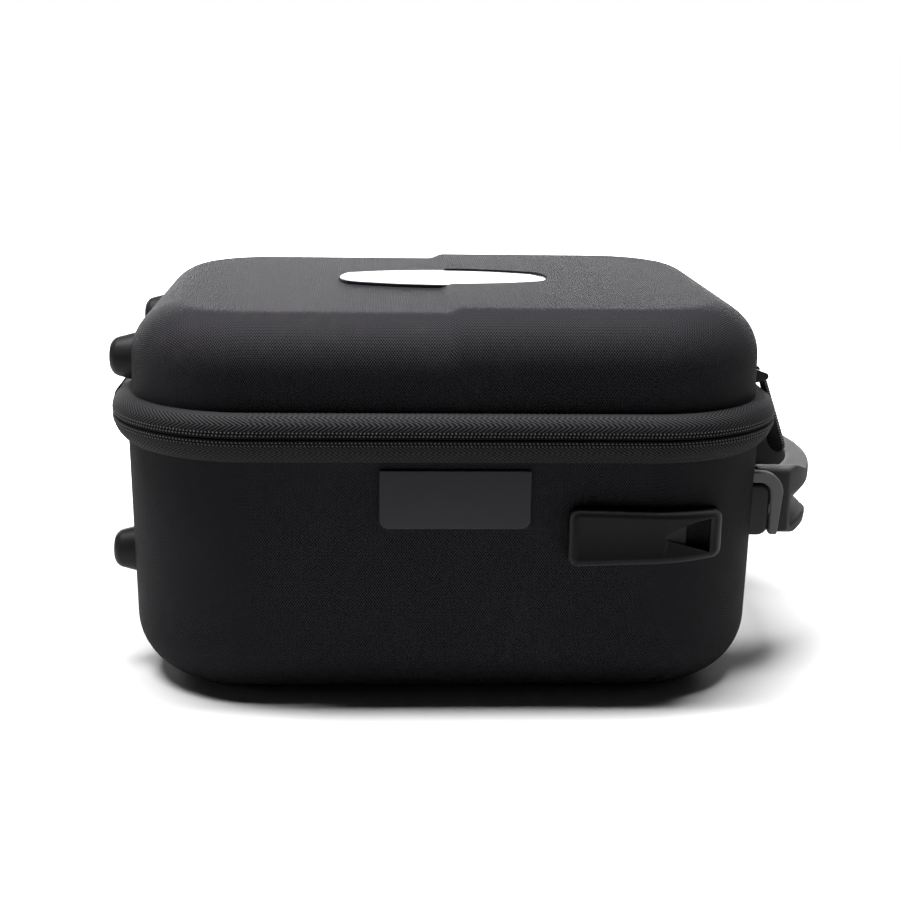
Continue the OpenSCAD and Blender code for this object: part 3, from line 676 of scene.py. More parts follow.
@dataclass
class Wardrobe:
    """All the finishes of the case, each under its slot's name."""

    finishes: dict[str, bpy.types.Material] = field(default_factory=dict)
    record_slots: dict[str, str] = field(
        default_factory=lambda: {"stitch_thread": "zip_tape", "shroud_rubber": "handle_rubber"}
    )

    def __post_init__(self) -> None:
        """Makes every finish once."""
        plain = [
            MouldedCloth(), Tape(), Webbing(), Foam(), Pile(),
            Moulding("zip_coil", (0.010, 0.010, 0.011), (0.030, 0.030, 0.032), 0.42),
            Moulding("stitch_thread", (0.110, 0.108, 0.112), (0.070, 0.070, 0.072), 0.6),
            Moulding("foot_plastic", (0.012, 0.012, 0.013), (0.028, 0.027, 0.026), 0.42, shine=0.17),
            # The lug's rims get a painted highlight: a light grey along its marked edges, those on top the
            # most.
            Moulding("lug_plastic", (0.0035, 0.0033, 0.0040), (0.0080, 0.0078, 0.0080), 0.46,
                     grain_depth=0.04 * MM, shine=0.17, painted_edge_highlight=(0.15, 0.147, 0.148)),
            Moulding("tag_rubber", (0.030, 0.029, 0.034), (0.042, 0.041, 0.046), 0.6),
            Moulding("mount_plastic", (0.008, 0.008, 0.009), (0.022, 0.022, 0.023), 0.34),
            Moulding("handle_rubber", (0.040, 0.040, 0.042), (0.060, 0.060, 0.060), 0.55, shine=0.12),
            # The shroud is the grip's rubber, painted lighter to stand in for the light that falls on it.
            Moulding("shroud_rubber", (0.15, 0.15, 0.155), (0.20, 0.20, 0.20), 0.55, shine=0.15),
            Moulding("pull_rubber", (0.014, 0.014, 0.015), (0.035, 0.035, 0.036), 0.5),
            Moulding("plate_black", (0.010, 0.010, 0.011), (0.026, 0.026, 0.027), 0.28, coat=0.3),
            Moulding("plate_white", (0.60, 0.60, 0.61), (0.52, 0.52, 0.52), 0.35, grain_depth=0.01 * MM),
            Metal("steel", (0.62, 0.62, 0.62), (0.42, 0.42, 0.43), 0.28, 1.0),
            Metal("slider_metal", (0.020, 0.020, 0.021), (0.060, 0.060, 0.060), 0.32, 0.3),
        ]
        for finish in plain:
            self.finishes[finish.name] = finish.make()

    def dress(self, body: Body, slot: str) -> None:
        """Gives a new piece its finish."""
        body.data.materials.clear()
        body.data.materials.append(self.finishes[slot])

    def dress_node(self, node: Body, slot: str) -> None:
        """Gives a carried-over CAD node its finish.

        Args:
            node: The CAD node's object.
            slot: The finish's name.
        """
        if not node.material_slots:
            node.data.materials.append(None)
        for holder in node.material_slots:
            holder.material = self.finishes[slot]


# ------------------------------------------------------------- the round plan


@dataclass(frozen=True)
class Plan:
    """The rounded rectangle that the shell and the band follow."""

    centre_x: float = 114 * MM
    centre_y: float = 84 * MM
    corner_steps: int = 24

    def from_core(self, x: float, y: float) -> tuple[Vector, Vector]:
        """Splits a point into its nearest core point and the way out from there."""
        limits = ((self.centre_x, x), (self.centre_y, y))
        core = Vector([max(-limit, min(limit, value)) for limit, value in limits])
        return core, Vector((x, y)) - core

    def corners(self) -> list[tuple[float, float]]:
        """The corners' axes once round, from the left front one back to it."""
        x, y = self.centre_x, self.centre_y
        return [(-x, -y), (x, -y), (x, y), (-x, y), (-x, -y)]

    def runs(self, radius: float) -> list[tuple[float, Point, Point]]:
        """The eight stretches of the line at a radius from the corners' axes.

        Args:
            radius: The radius of the line's corners.

        Returns:
            Each stretch's length, starting core point and heading as an angle.
        """
        quarter = radius * math.pi / 2
        runs = []
        for heading, start, end in zip((-90, 0, 90, 180), self.corners(), self.corners()[1:]):
            runs += [(math.dist(start, end), start, heading), (quarter, end, heading)]
        return runs

    def length(self, radius: float) -> float:
        """The length once round at a radius from the corners' axes."""
        return 4 * (self.centre_x + self.centre_y) + TURN * radius

    def stand(self, along: float, radius: float, height: float) -> Matrix:
        """Where a small thing stands on the line round the plan.

        Args:
            along: The distance along the line from the left end of the front wall.
            radius: The line's distance from the corners' axes.
            height: The height above the floor.

        Returns:
            The place, with X along the line, Y outwards and Z up.
        """
        along %= self.length(radius)
        for index, (span, core, facing) in enumerate(self.runs(radius)):
            if along <= span:
                break
            along -= span
        turn = math.radians(facing)
        if index % 2:
            turn += along / radius
            along = 0.0
        out = Vector((math.cos(turn), math.sin(turn), 0))
        onward = Vector((-out.y, out.x, 0))
        spot = Vector((*core, height)) + out * radius + onward * along
        return Matrix.Translation(spot) @ Matrix((onward, out, Vector((0, 0, 1)))).transposed().to_4x4()

    def along(self, x: float, y: float, radius: float) -> float:
        """The distance along the line at which a point near it stands.

        Args:
            x: The point's X.
            y: The point's Y.
            radius: The radius at which arcs are measured.

        Returns:
            The distance from the left end of the front wall.
        """
        core, out = self.from_core(x, y)
        facing = math.degrees(math.atan2(out.y, out.x)) % 360
        passed = 0.0
        for index, (span, corner, start) in enumerate(self.runs(radius)):
            turned = (facing - start + 180) % 360 - 180
            offset = core - Vector(corner)
            if index % 2 == 0 and abs(turned) < 1e-4:
                return passed + abs(offset.x) + abs(offset.y)
            if index % 2 and 0 < turned < 90 and offset.length < 1e-6:
                return passed + radius * math.radians(turned)
            passed += span
        return 0.0

    def swept(self, name: str, outline: Outline) -> Body:
        """Carries a closed outline once round the plan by extruding and spinning it.

        Args:
            name: The piece's name.
            outline: Its points, as distance from the corners' axes and height.

        Returns:
            The closed ring, with a UV map in metres along and across it.
        """
        body = start_loop(name, [(-self.centre_x, -self.centre_y - u, z) for u, z in outline])
        with editing(body):
            for start, end in zip(self.corners(), self.corners()[1:]):
                move = (end[0] - start[0], end[1] - start[1], 0)
                bpy.ops.mesh.extrude_edges_move(TRANSFORM_OT_translate={"value": move})
                bpy.ops.mesh.spin(
                    steps=self.corner_steps, angle=-math.pi / 2, use_normal_flip=False,
                    center=(*end, 0), axis=(0, 0, 1),
                )
        tidy(body)
        return body

    def unrolled(self, body: Body, outline: Outline, radius: float, zero: int) -> None:
        """Lays cloth along a swept ring.

        Args:
            body: The ring.
            outline: The outline it was swept from.
            radius: The radius at which the cloth has its true length.
            zero: The outline's point where the distance across is 0.
        """
        steps = [math.dist(a, b) for a, b in zip(outline, outline[1:] + outline[:1])]
        across = np.cumsum([0.0, *steps])
        middle = across[zero]
        whole, once = across[-1], self.length(radius)
        layer = body.data.uv_layers.new(name="cloth")
        spots = []
        for vert in body.data.vertices:
            _, out = self.from_core(vert.co.x, vert.co.y)
            spot = (out.length, vert.co.z)
            near = min(range(len(outline)), key=lambda i: math.dist(outline[i], spot))
            spots.append((self.along(vert.co.x, vert.co.y, radius), across[near] - middle))
        for face in body.data.polygons:
            first = spots[face.vertices[0]]
            for loop in face.loop_indices:
                spot = spots[body.data.loops[loop].vertex_index]
                turned = [
                    value - size * round((value - start) / size)
                    for value, start, size in zip(spot, first, (once, whole))
                ]
                layer.data[loop].uv = turned


# ------------------------------------------------------------------ the shell


@dataclass
class Shell:
    """The two moulded halves, their linings and the way cloth is drawn over them."""

    plan: Plan
    seam: float = 161 * MM
    corner_radius: float = 76 * MM
    floor_radius: float = 36 * MM
    top_radius: float = 32 * MM
    lid_inset: float = 3.2 * MM
    lid_low: float = 226 * MM
    step_rise: float = 3 * MM
    step_from: float = -3 * MM
    step_to: float = 7 * MM
    draft: float = 1.35
    wall: float = 5 * MM
    lining: float = 1 * MM
    turn_steps: int = 14
    wall_rows: int = 10

    def lean(self, z: float) -> float:
        """How far the base's wall stands in from the seam's outline at a height."""
        return (self.seam - z) * math.tan(math.radians(self.draft))

    def wall_at(self, z: float) -> float:
        """The distance of the base's wall from the corners' axes at a height."""
        return self.corner_radius - self.lean(z)

    def block(self, name: str, radius: float, turn: float, closed_at: float, open_at: float) -> Body:
        """Shapes one half: a box with round upright corners and a round closed end.

        Args:
            name: The piece's name.
            radius: The upright corners' radius.
            turn: The radius between the walls and the closed end.
            closed_at: The height of the closed end.
            open_at: The height of the open end.

        Returns:
            The open shape, one face thick.
        """
        plan = self.plan
        half_x, half_y = plan.centre_x + radius, plan.centre_y + radius
        low, high = sorted((closed_at, open_at))
        box = ((-half_x, -half_y, low), (half_x, half_y, high))
        body = rounded_box(name, *box, radius, plan.corner_steps)
        with editing(body):
            choose(body, Part.FACE, lambda place, way: abs(place.z - closed_at) < 1e-5)
            bevelled(body, turn, self.turn_steps)
            choose(body, Part.FACE, lambda place, way: abs(place.z - open_at) < 1e-5 and abs(way.z) > 0.9)
            bpy.ops.mesh.delete(type="ONLY_FACE")
            choose(body, Part.EDGE, lambda place, way: abs(way.z) > 0.999)
            bpy.ops.mesh.subdivide(number_cuts=self.wall_rows)
        return body

    def draw_cloth(self, body: Body, radius: float, turn: float, closed_at: float) -> None:
        """Lays cloth on the closed end and draws it out over the walls.

        Args:
            body: The open half.
            radius: The upright corners' radius.
            turn: The radius between the walls and the closed end.
            closed_at: The height of the closed end.
        """
        flat = radius - turn

        def laid(place: Vector) -> tuple[float, float]:
            """The flat sheet's point that was drawn to a place."""
            core, out = self.plan.from_core(place.x, place.y)
            depth = abs(place.z - closed_at)
            if depth < 1e-6 or out.length < 1e-9:
                return place.x, place.y
            if depth < turn:
                reach = flat + turn * math.acos(max(-1.0, 1 - depth / turn))
            else:
                reach = flat + turn * math.pi / 2 + depth - turn
            return tuple(core + out.normalized() * reach)

        lay_cloth(body, laid)

    def thicken(self, body: Body, depth: float) -> None:
        """Gives a half its wall, inwards."""
        modified(body, "SOLIDIFY", thickness=depth, offset=-1.0, use_even_offset=True, use_rim=True)

    def base_half(self, name: str, inset: float, depth: float) -> Body:
        """Models a skin of the base.

        Args:
            name: The piece's name.
            inset: How far its outside lies inside the shell's.
            depth: Its thickness.

        Returns:
            The skin.
        """
        radius, turn = self.corner_radius - inset, self.floor_radius - inset
        body = self.block(name, radius, turn, inset, self.seam)
        self.draw_cloth(body, radius, turn, inset)
        for vert in body.data.vertices:
            core, out = self.plan.from_core(vert.co.x, vert.co.y)
            if out.length > self.lean(0) * 2:
                spot = core + out * (1 - self.lean(vert.co.z) / out.length)
                vert.co.x, vert.co.y = spot
        self.thicken(body, depth)
        smoothed(body)
        return body

    def lid_half(self, name: str, inset: float, depth: float, stepped: bool) -> Body:
        """Models a skin of the lid.

        Args:
            name: The piece's name.
            inset: How far its outside lies inside the shell's.
            depth: Its thickness.
            stepped: Whether the top has the step.

        Returns:
            The skin.
        """
        radius, turn = self.corner_radius - self.lid_inset - inset, self.top_radius - inset
        top = self.lid_low - inset
        body = self.block(name, radius, turn, top, self.seam)
        self.draw_cloth(body, radius, turn, top)
        if stepped:
            cuts = 7
            with editing(body):
                for i in range(cuts + 1):
                    x = self.step_from + (self.step_to - self.step_from) * i / cuts
                    bpy.ops.mesh.select_all(action="SELECT")
                    bpy.ops.mesh.bisect(plane_co=(x, 0, 0), plane_no=(1, 0, 0))
            for vert in body.data.vertices:
                up = way_from(vert.co.z, self.seam, top - turn)
                vert.co.z += self.step_rise * soft_way(vert.co.x, self.step_from, self.step_to) * up
        self.thicken(body, depth)
        smoothed(body)
        return body


@dataclass
class Plate:
    """The blank pointed-oval plate let into the lid."""

    x: float = 2 * MM
    y: float = 8 * MM
    length: float = 134 * MM
    width: float = 72 * MM
    side_radius: float = 130 * MM
    end_radius: float = 40 * MM
    top: float = 228 * MM
    depth: float = 3 * MM
    rim: float = 3 * MM
    sink: float = 0.6 * MM
    gap: float = 0.8 * MM
    soft: float = 0.35 * MM
    play: float = 0.1 * MM
    drop: float = 0.05 * MM
    dome: float = 0.4 * MM
    arc_steps: int = 20

    def outline(self, grow: float) -> Outline:
        """The plate's outline, grown outwards.

        Args:
            grow: How far it is grown.

        Returns:
            Its points in order.
        """
        side_y = self.side_radius - self.width / 2
        end_x = self.length / 2 - self.end_radius
        big, small = self.side_radius + grow, self.end_radius + grow
        apart = math.hypot(end_x, side_y)
        along = (big * big - small * small + apart * apart) / (2 * apart)
        off = math.sqrt(big * big - along * along)
        way = Vector((end_x, side_y)) / apart
        corner = Vector((0, -side_y)) + way * along + Vector((way.y, -way.x)) * off
        side_turn = math.atan2(corner.y + side_y, corner.x)
        end_turn = math.atan2(corner.y, corner.x - end_x)
        quarter = arc_points(end_x, 0, small, np.linspace(0, end_turn, self.arc_steps // 2))
        side_turns = np.linspace(side_turn, math.pi / 2, self.arc_steps)[1:]
        quarter += arc_points(0, -side_y, big, side_turns)
        upper = quarter + [(-x, y) for x, y in reversed(quarter[:-1])]
        whole = upper + [(x, -y) for x, y in reversed(upper[1:-1])]
        return [(self.x + x, self.y + y) for x, y in whole]

    def prism(self, name: str, grow: float, low: float, high: float) -> Body:
        """Raises the outline between two heights."""
        return raised(name, [(x, y, low) for x, y in self.outline(grow)], (0, 0, high - low))

    def rounded_top(self, body: Body, top: float, width: float) -> None:
        """Rounds the upper edge of a prism."""
        with editing(body):
            choose(body, Part.FACE, lambda place, way: way.z > 0.9 and abs(place.z - top) < 1e-5)
            bevelled(body, width, 4)
        smoothed(body, 50)

    def frame(self) -> Body:
        """Models the black rim with its sunk floor."""
        body = self.prism("plate_frame", 0, self.top - self.depth, self.top)
        cut(body, self.prism("plate_sink", -self.rim, self.top - self.sink, self.top + self.depth))
        eased(body, self.soft, 3, 50)
        smoothed(body, 40)
        return body

    def face(self) -> Body:
        """Models the white face, slightly domed at its edge."""
        top = self.top - self.drop
        body = self.prism("plate_blank", -self.rim - self.play, self.top - self.sink, top)
        self.rounded_top(body, top, self.dome)
        return body


# --------------------------------------------------------------- the zip band


@dataclass
class ZipBand:
    """The two tapes with their coils, stitches and sliders' way."""

    plan: Plan
    shell: Shell
    reach: float = 84.5 * MM
    below: float = 17.5 * MM
    above: float = 13 * MM
    round_above: float = 9 * MM
    gap: float = 0.22 * MM
    lip: float = 0.7 * MM
    coil_in: float = 80.0 * MM
    coil_out: float = 83.3 * MM
    coil_half: float = 0.9 * MM
    coil_pitch: float = 1.9 * MM
    root: float = 74.2 * MM
    foot: float = 73.6 * MM
    stitch_pitch: float = 2.2 * MM
    stitch_off: tuple[float, ...] = (1.9 * MM, 3.6 * MM)
    stitch_size: Point = (1.2 * MM, 0.5 * MM, 0.95 * MM)
    wall_rows: tuple[float, float] = (2 * MM, 3 * MM)
    tuck: float = 1.5 * MM
    back_drop: float = 2 * MM
    turn_high: float = 1.0 * MM
    turn_thick: float = 0.62 * MM
    turn_play: float = 0.2 * MM
    turn_round: float = 0.35 * MM
    slot_in: float = 77.2 * MM
    slot_depth: float = 2.2 * MM
    slot_half: float = 4.9 * MM
    slot_y: tuple[float, float] = (-62 * MM, 86 * MM)

    def base_outline(self) -> tuple[Outline, int]:
        """The lower tape's outline.

        Returns:
            Its points, and the index of the one at the zip line.
        """
        axis = self.reach - self.below
        seam = self.shell.seam
        start = math.radians(-61)
        end = math.asin((-self.gap - self.lip) / self.below)
        arc = arc_points(axis, seam, self.below, np.linspace(start, end, 16))
        lip_u, lip_z = arc[-1][0] - self.lip, seam - self.gap - self.lip
        turn = arc_points(lip_u, lip_z, self.lip, np.linspace(0, math.pi / 2, 5)[1:])
        zero = len(arc) + len(turn) - 1
        inner = [(self.coil_out, seam - self.coil_half), (self.coil_in - 0.5 * MM, seam - self.coil_half),
                 (self.coil_in - 0.6 * MM, seam - self.gap), (self.root, seam - self.gap),
                 (self.foot, arc[0][1])]
        return arc + turn + inner, zero

    def lid_outline(self) -> tuple[Outline, int]:
        """The upper tape's outline.

        Returns:
            Its points, and the index of the one at the zip line.
        """
        seam, top = self.shell.seam, self.shell.seam + self.above
        axis = self.reach - self.round_above
        lid_u = self.shell.corner_radius - self.shell.lid_inset
        inner = [(self.coil_in - 0.6 * MM, seam + self.gap),
                 (self.coil_in - 0.5 * MM, seam + self.coil_half), (self.coil_out, seam + self.coil_half)]
        lip_u, lip_z = self.reach - self.lip, seam + self.gap + self.lip
        turn = arc_points(lip_u, lip_z, self.lip, np.linspace(-math.pi / 2, 0, 5))
        wall = [(self.reach, seam + z) for z in self.wall_rows]
        turns = np.linspace(0, math.radians(101), 14)
        arc = arc_points(axis, top - self.round_above, self.round_above, turns)
        close = [(lid_u - self.tuck, top - self.back_drop), (lid_u - self.tuck, seam + self.gap)]
        return inner + turn + wall + arc + close, len(inner)

    def tape(self, name: str, outline: Outline, zero: int) -> Body:
        """Sweeps a tape round the plan and cuts the sliders' way into it.

        Args:
            name: The piece's name.
            outline: Its outline.
            zero: The outline's point at the zip line.

        Returns:
            The tape.
        """
        body = self.plan.swept(name, outline)
        self.plan.unrolled(body, outline, self.reach, zero)
        seam, half = self.shell.seam, self.slot_half
        low, high = self.slot_y
        x = self.plan.centre_x + self.slot_in
        cut(body, start_cube("way", (x, low, seam - half), (x + self.slot_depth, high, seam + half)))
        smoothed(body, 50)
        return body

    def zipped(self, along: float, radius: float) -> bool:
        """Whether the zip runs at a distance along the line, and not the hinge."""
        spot = self.plan.stand(along, radius, 0).translation
        on_hinge_wall = spot.x < -self.plan.centre_x - self.shell.corner_radius / 2
        return not (on_hinge_wall and abs(spot.y) < self.plan.centre_y)

    def spots(self, pitch: float, radius: float) -> list[float]:
        """Even distances along the zip at about a pitch."""
        whole = self.plan.length(radius)
        count = round(whole / pitch)
        places = [whole * (i + 0.5) / count for i in range(count)]
        return [place for place in places if self.zipped(place, radius)]

    def coil(self, name: str, side: int) -> Body:
        """Models a row of coil turns.

        Args:
            name: The piece's name.
            side: -1 for the row on the base and 1 for the one on the lid.

        Returns:
            The row.
        """
        middle = (self.coil_in + self.coil_out) / 2
        long, high, thick = self.coil_out - self.coil_in - self.turn_play, self.turn_high, self.turn_thick
        body = start_cube(name, (-thick / 2, -long / 2, -high / 2), (thick / 2, long / 2, high / 2))
        with editing(body):
            choose(body, Part.EDGE, lambda place, way: abs(way.x) > 0.9)
            bevelled(body, self.turn_round, 2)
        height = self.shell.seam + side * thick
        spots = self.spots(self.coil_pitch, middle)
        repeated(body, [self.plan.stand(along, middle, height) for along in spots])
        smoothed(body, 60)
        return body

    def on_tape(self, side: int, off: float) -> tuple[float, float]:
        """A point on a tape's outside."""
        if side > 0:
            return self.reach, self.shell.seam + off
        return self.reach - self.below + math.sqrt(self.below ** 2 - off ** 2), self.shell.seam - off

    def stitches(self, name: str, side: int) -> Body:
        """Models the two stitch rows that hold a coil to its tape.

        Args:
            name: The piece's name.
            side: -1 on the base and 1 on the lid.

        Returns:
            The stitches.
        """
        bpy.ops.mesh.primitive_uv_sphere_add(segments=6, ring_count=4, radius=0.5)
        body = fresh(name)
        with editing(body):
            bpy.ops.transform.resize(value=self.stitch_size)
        places = []
        for row, off in enumerate(self.stitch_off):
            radius, height = self.on_tape(side, off)
            for index, along in enumerate(self.spots(self.stitch_pitch, radius)):
                shift = (row - 0.5) * 0.25 * self.stitch_pitch
                place = self.plan.stand(along + shift, radius, height)
                lean = Matrix.Rotation((0.28 if index % 2 else -0.28), 4, "Y")
                places.append(place @ lean)
        repeated(body, places)
        smoothed(body, 60)
        return body


# ------------------------------------------------------------------ hardware


@dataclass
class Foot:
    """A moulded foot on the hinge wall."""

    name: str
    wall_x: float
    y: float
    z: float
    face_x: float = -201.5 * MM
    radius: float = 14.8 * MM
    taper: float = 4.3 * MM
    rounding: float = 5.2 * MM
    root: float = 3 * MM
    rim: float = 1.6 * MM
    dish_side: float = 0.5 * MM
    dish: float = 0.35 * MM

    def build(self) -> Body:
        """Models the foot: a drum that tapers out, is rounded over and has a shallow dish in its face."""
        depth = -self.face_x - self.wall_x + self.root
        bpy.ops.mesh.primitive_cylinder_add(
            vertices=72, radius=self.radius, depth=depth, end_fill_type="NGON",
            location=(self.face_x + depth / 2, self.y, self.z), rotation=(0, math.radians(90), 0),
        )
        body = fresh(self.name)
        with editing(body):
            choose(body, Part.FACE, lambda place, way: way.x < -0.9)
            share = (self.radius - self.taper) / self.radius
            bpy.ops.transform.resize(value=(1, share, share), center_override=(self.face_x, self.y, self.z))
            bevelled(body, self.rounding, 12)
            choose(body, Part.FACE, lambda place, way: way.x < -0.99 and abs(place.x - self.face_x) < 1e-5)
            bpy.ops.mesh.inset(thickness=self.rim)
            bpy.ops.mesh.inset(thickness=self.dish_side)
            bpy.ops.transform.translate(value=(self.dish, 0, 0))
        smoothed(body, 30)
        return body


@dataclass
class Lug:
    """A strap lug: a tapered pad with a scoop that deepens behind an upright bar."""

    side: Side
    shell: Shell
    plan: Plan
    start: float = 67 * MM
    length: float = 90 * MM
    height: float = 34 * MM
    narrow: float = 29 * MM
    corner: float = 6 * MM
    middle: float = 103.5 * MM
    proud: float = 9.5 * MM
    channel: float = 6.5 * MM
    bar: float = 8 * MM
    scoop: float = 28 * MM
    scoop_height: float = 20 * MM
    edge: float = 3.6 * MM
    rim: float = 0.8 * MM
    rim_rise: float = 0.2 * MM
    rim_slope: float = 0.6 * MM
    behind: float = 3 * MM
    soft: float = 0.5 * MM
    bend_step: float = 3 * MM

    def outline(self) -> Outline:
        """The lug's outline on the wall, corners rounded."""
        near, far = self.start + self.corner, self.start + self.length - self.corner
        high, low = self.height / 2 - self.corner, self.narrow / 2 - self.corner
        points = []
        for x, z, first in ((far, low, 0), (near, high, 90), (near, -high, 180), (far, -low, 270)):
            points += arc_points(x, z, self.corner, np.radians(np.linspace(first, first + 90, 9)))
        return points

    def wall_y(self, z: float) -> float:
        """How far the wall stands from the middle at a height."""
        return self.plan.centre_y + self.shell.wall_at(z)

    def prism(self, name: str, outline: Outline, low: float, high: float) -> Body:
        """Raises an outline on the leaning wall."""
        points = [(x, -self.wall_y(self.middle + z) - low, self.middle + z) for x, z in outline]
        return raised(name, points, (0, low - high, 0))

    def pad(self) -> Body:
        """Models the plain pad: rounded over, with a raised rim round its flat face."""
        body = self.prism(f"lug_{self.side.name.lower()}_moulding", self.outline(), -1 * MM, self.proud)
        with editing(body):
            choose(body, Part.FACE, lambda place, way: way.y < -0.9)
            bevelled(body, self.edge, 6)
            front = -self.wall_y(self.middle) - self.proud
            choose(body, Part.FACE, lambda place, way: way.y < -0.999 and abs(place.y - front) < 0.5 * MM)
            bpy.ops.mesh.inset(thickness=self.rim)
            bpy.ops.mesh.inset(thickness=self.rim_slope, depth=-self.rim_rise)
        return body

    def hollow(self, tip: float, bar_start: float) -> Body:
        """Models the room of the leaf-shaped scoop, whose floor slopes down to the wall.

        Args:
            tip: Where the scoop starts.
            bar_start: Where the bar starts.

        Returns:
            The closed shape to be cut out.
        """
        half = self.scoop_height / 2
        leaf = [(tip, 0.0)] + [
            (tip + self.scoop * t, half * math.sin(t * math.pi / 2) ** 0.8) for t in np.linspace(0.08, 1, 9)
        ] + [(tip + self.scoop * t, -half * t) for t in np.linspace(1, 0.12, 6)]
        hollow = self.prism("hollow", leaf, -self.behind, self.proud + 4 * MM)
        margin, deep, high = 10 * MM, 60 * MM, 200 * MM
        floor = start_cube("floor", (tip - margin, -self.wall_y(0) - deep, 0), (bar_start + margin, 0, high))
        with editing(floor):
            run = math.atan2(self.proud, self.scoop - 4 * MM)
            bpy.ops.mesh.bisect(
                plane_co=(tip, -self.wall_y(self.middle) - self.proud, self.middle),
                plane_no=(-math.sin(run), math.cos(run), 0), clear_outer=True, use_fill=True,
            )
        modified(hollow, "BOOLEAN", operation="INTERSECT", solver="EXACT", object=floor)
        bpy.data.objects.remove(floor, do_unlink=True)
        return hollow

    def bend(self, body: Body) -> None:
        """Bends the flat lug round the shell's upright corner."""
        start, end = self.plan.centre_x, self.start + self.length
        with editing(body):
            for x in np.arange(start, end, self.bend_step):
                bpy.ops.mesh.select_all(action="SELECT")
                bpy.ops.mesh.bisect(plane_co=(x, 0, 0), plane_no=(1, 0, 0))
        for vert in body.data.vertices:
            past = vert.co.x - start
            if past > 0:
                reach = -vert.co.y - self.plan.centre_y
                vert.co.y = -(self.plan.centre_y + math.sqrt(reach * reach - past * past))

    def build(self) -> Body:
        """Models the lug flat, bends it round the corner and marks its rims for the painted highlight."""
        bar_start = self.start + self.length - self.bar
        body = self.pad()
        half = self.scoop_height / 2 - 1 * MM
        low, high = bar_start - self.scoop / 2, bar_start + 20 * MM
        oblong = [(low, -half), (high, -half), (high, half), (low, half)]
        way = self.prism("way", oblong, -self.behind, self.channel)
        cut(body, self.hollow(bar_start - self.scoop, bar_start), way)
        eased(body, self.soft, 3, 42)
        self.bend(body)
        smoothed(body, 35)
        # Marks the rims that get the painted highlight.
        mark_painted_highlight_edges(body)
        if self.side is Side.BACK:
            mirror_y(body)
        return body


def mark_painted_highlight_edges(body: Body, slant: float = 0.46, spread: float = 0.48) -> None:
    """Marks the rounded edges round a front piece's face for a painted highlight, those on top the most.

    Args:
        body: The piece, whose face points to the front.
        slant: How far a marked edge faces the front, from 0 to 1.
        spread: How fast the mark fades on either side of that.
    """
    mark = body.data.attributes.new("edge", "FLOAT", "POINT")
    for vert, point in zip(body.data.vertices, mark.data):
        way = vert.normal
        point.value = max(0.0, 1 - abs(-way.y - slant) / spread) * (0.35 + 0.65 * max(0.0, way.z))


def mirror_y(body: Body) -> None:
    """Turns a front piece into its match on the back."""
    for vert in body.data.vertices:
        vert.co.y = -vert.co.y
    with editing(body):
        bpy.ops.mesh.flip_normals()


@dataclass
class HandleEnd:
    """The mount at one end of the handle, and the rubber shroud that wraps it."""

    side: Side
    low_x: float = 183.5 * MM
    mount_x: float = 196.6 * MM
    shroud_x: float = 204 * MM
    shroud_foot_x: float = 201.5 * MM
    inner: float = 101.4 * MM
    outer: float = 108 * MM
    low: float = 87.3 * MM
    mount_top: float = 121.2 * MM
    top: float = 127.5 * MM
    corner: float = 7 * MM
    shroud_corner: float = 13 * MM
    pillow: float = 3.6 * MM
    inner_edge: float = 0.8 * MM
    lift: float = 1 * MM
    sunk: float = 0.35 * MM
    over: float = 0.6 * MM
    grain: float = 0.45 * MM

    def placed(self, body: Body) -> Body:
        """Shades a front piece, and mirrors it for the back."""
        smoothed(body, 40)
        if self.side is Side.BACK:
            mirror_y(body)
        return body

    def mount(self) -> Body:
        """Models the mount as a pillow-shaped block, rounded far over at its front."""
        body = start_cube(
            f"{self.side.name.lower()}_mount", (self.low_x, -self.outer, self.low),
            (self.mount_x, -self.inner, self.mount_top),
        )
        with editing(body):
            choose(body, Part.EDGE, lambda place, way: abs(way.y) > 0.9 and place.x > self.low_x + 1 * MM)
            bevelled(body, self.corner, 12)
            for y, width, steps in ((-self.outer, self.pillow, 10), (-self.inner, self.inner_edge, 3)):
                choose(body, Part.EDGE, lambda place, way: abs(way.y) < 0.1 and abs(place.y - y) < 1e-5
                       and place.x > self.low_x + 1e-5)
                bevelled(body, width, steps)
        return self.placed(body)

    def arc(self, x: float, z: float, radius: float) -> Outline:
        """A quarter turn from pointing up to pointing out, round the corner at (x, z)."""
        return arc_points(x - radius, z - radius, radius, np.linspace(math.pi / 2, 0, 12))

    def shroud(self) -> Body:
        """Models the shroud: a soft strip that runs over the mount and down its end."""
        low, gap = self.low + self.lift, -self.sunk
        outside = self.arc(self.shroud_x, self.top, self.shroud_corner)
        inside = self.arc(self.mount_x + gap, self.mount_top + gap, self.corner)
        line = [(self.low_x, self.top), *outside, (self.shroud_foot_x, low), (self.mount_x + gap, low),
                *reversed(inside), (self.low_x, self.mount_top + gap)]
        y = -self.outer - self.over
        points = [(x, y, z) for x, z in line]
        body = raised(f"{self.side.name.lower()}_shroud", points, (0, -self.inner - y, 0))
        melted(body, self.grain, 26)
        return self.placed(body)


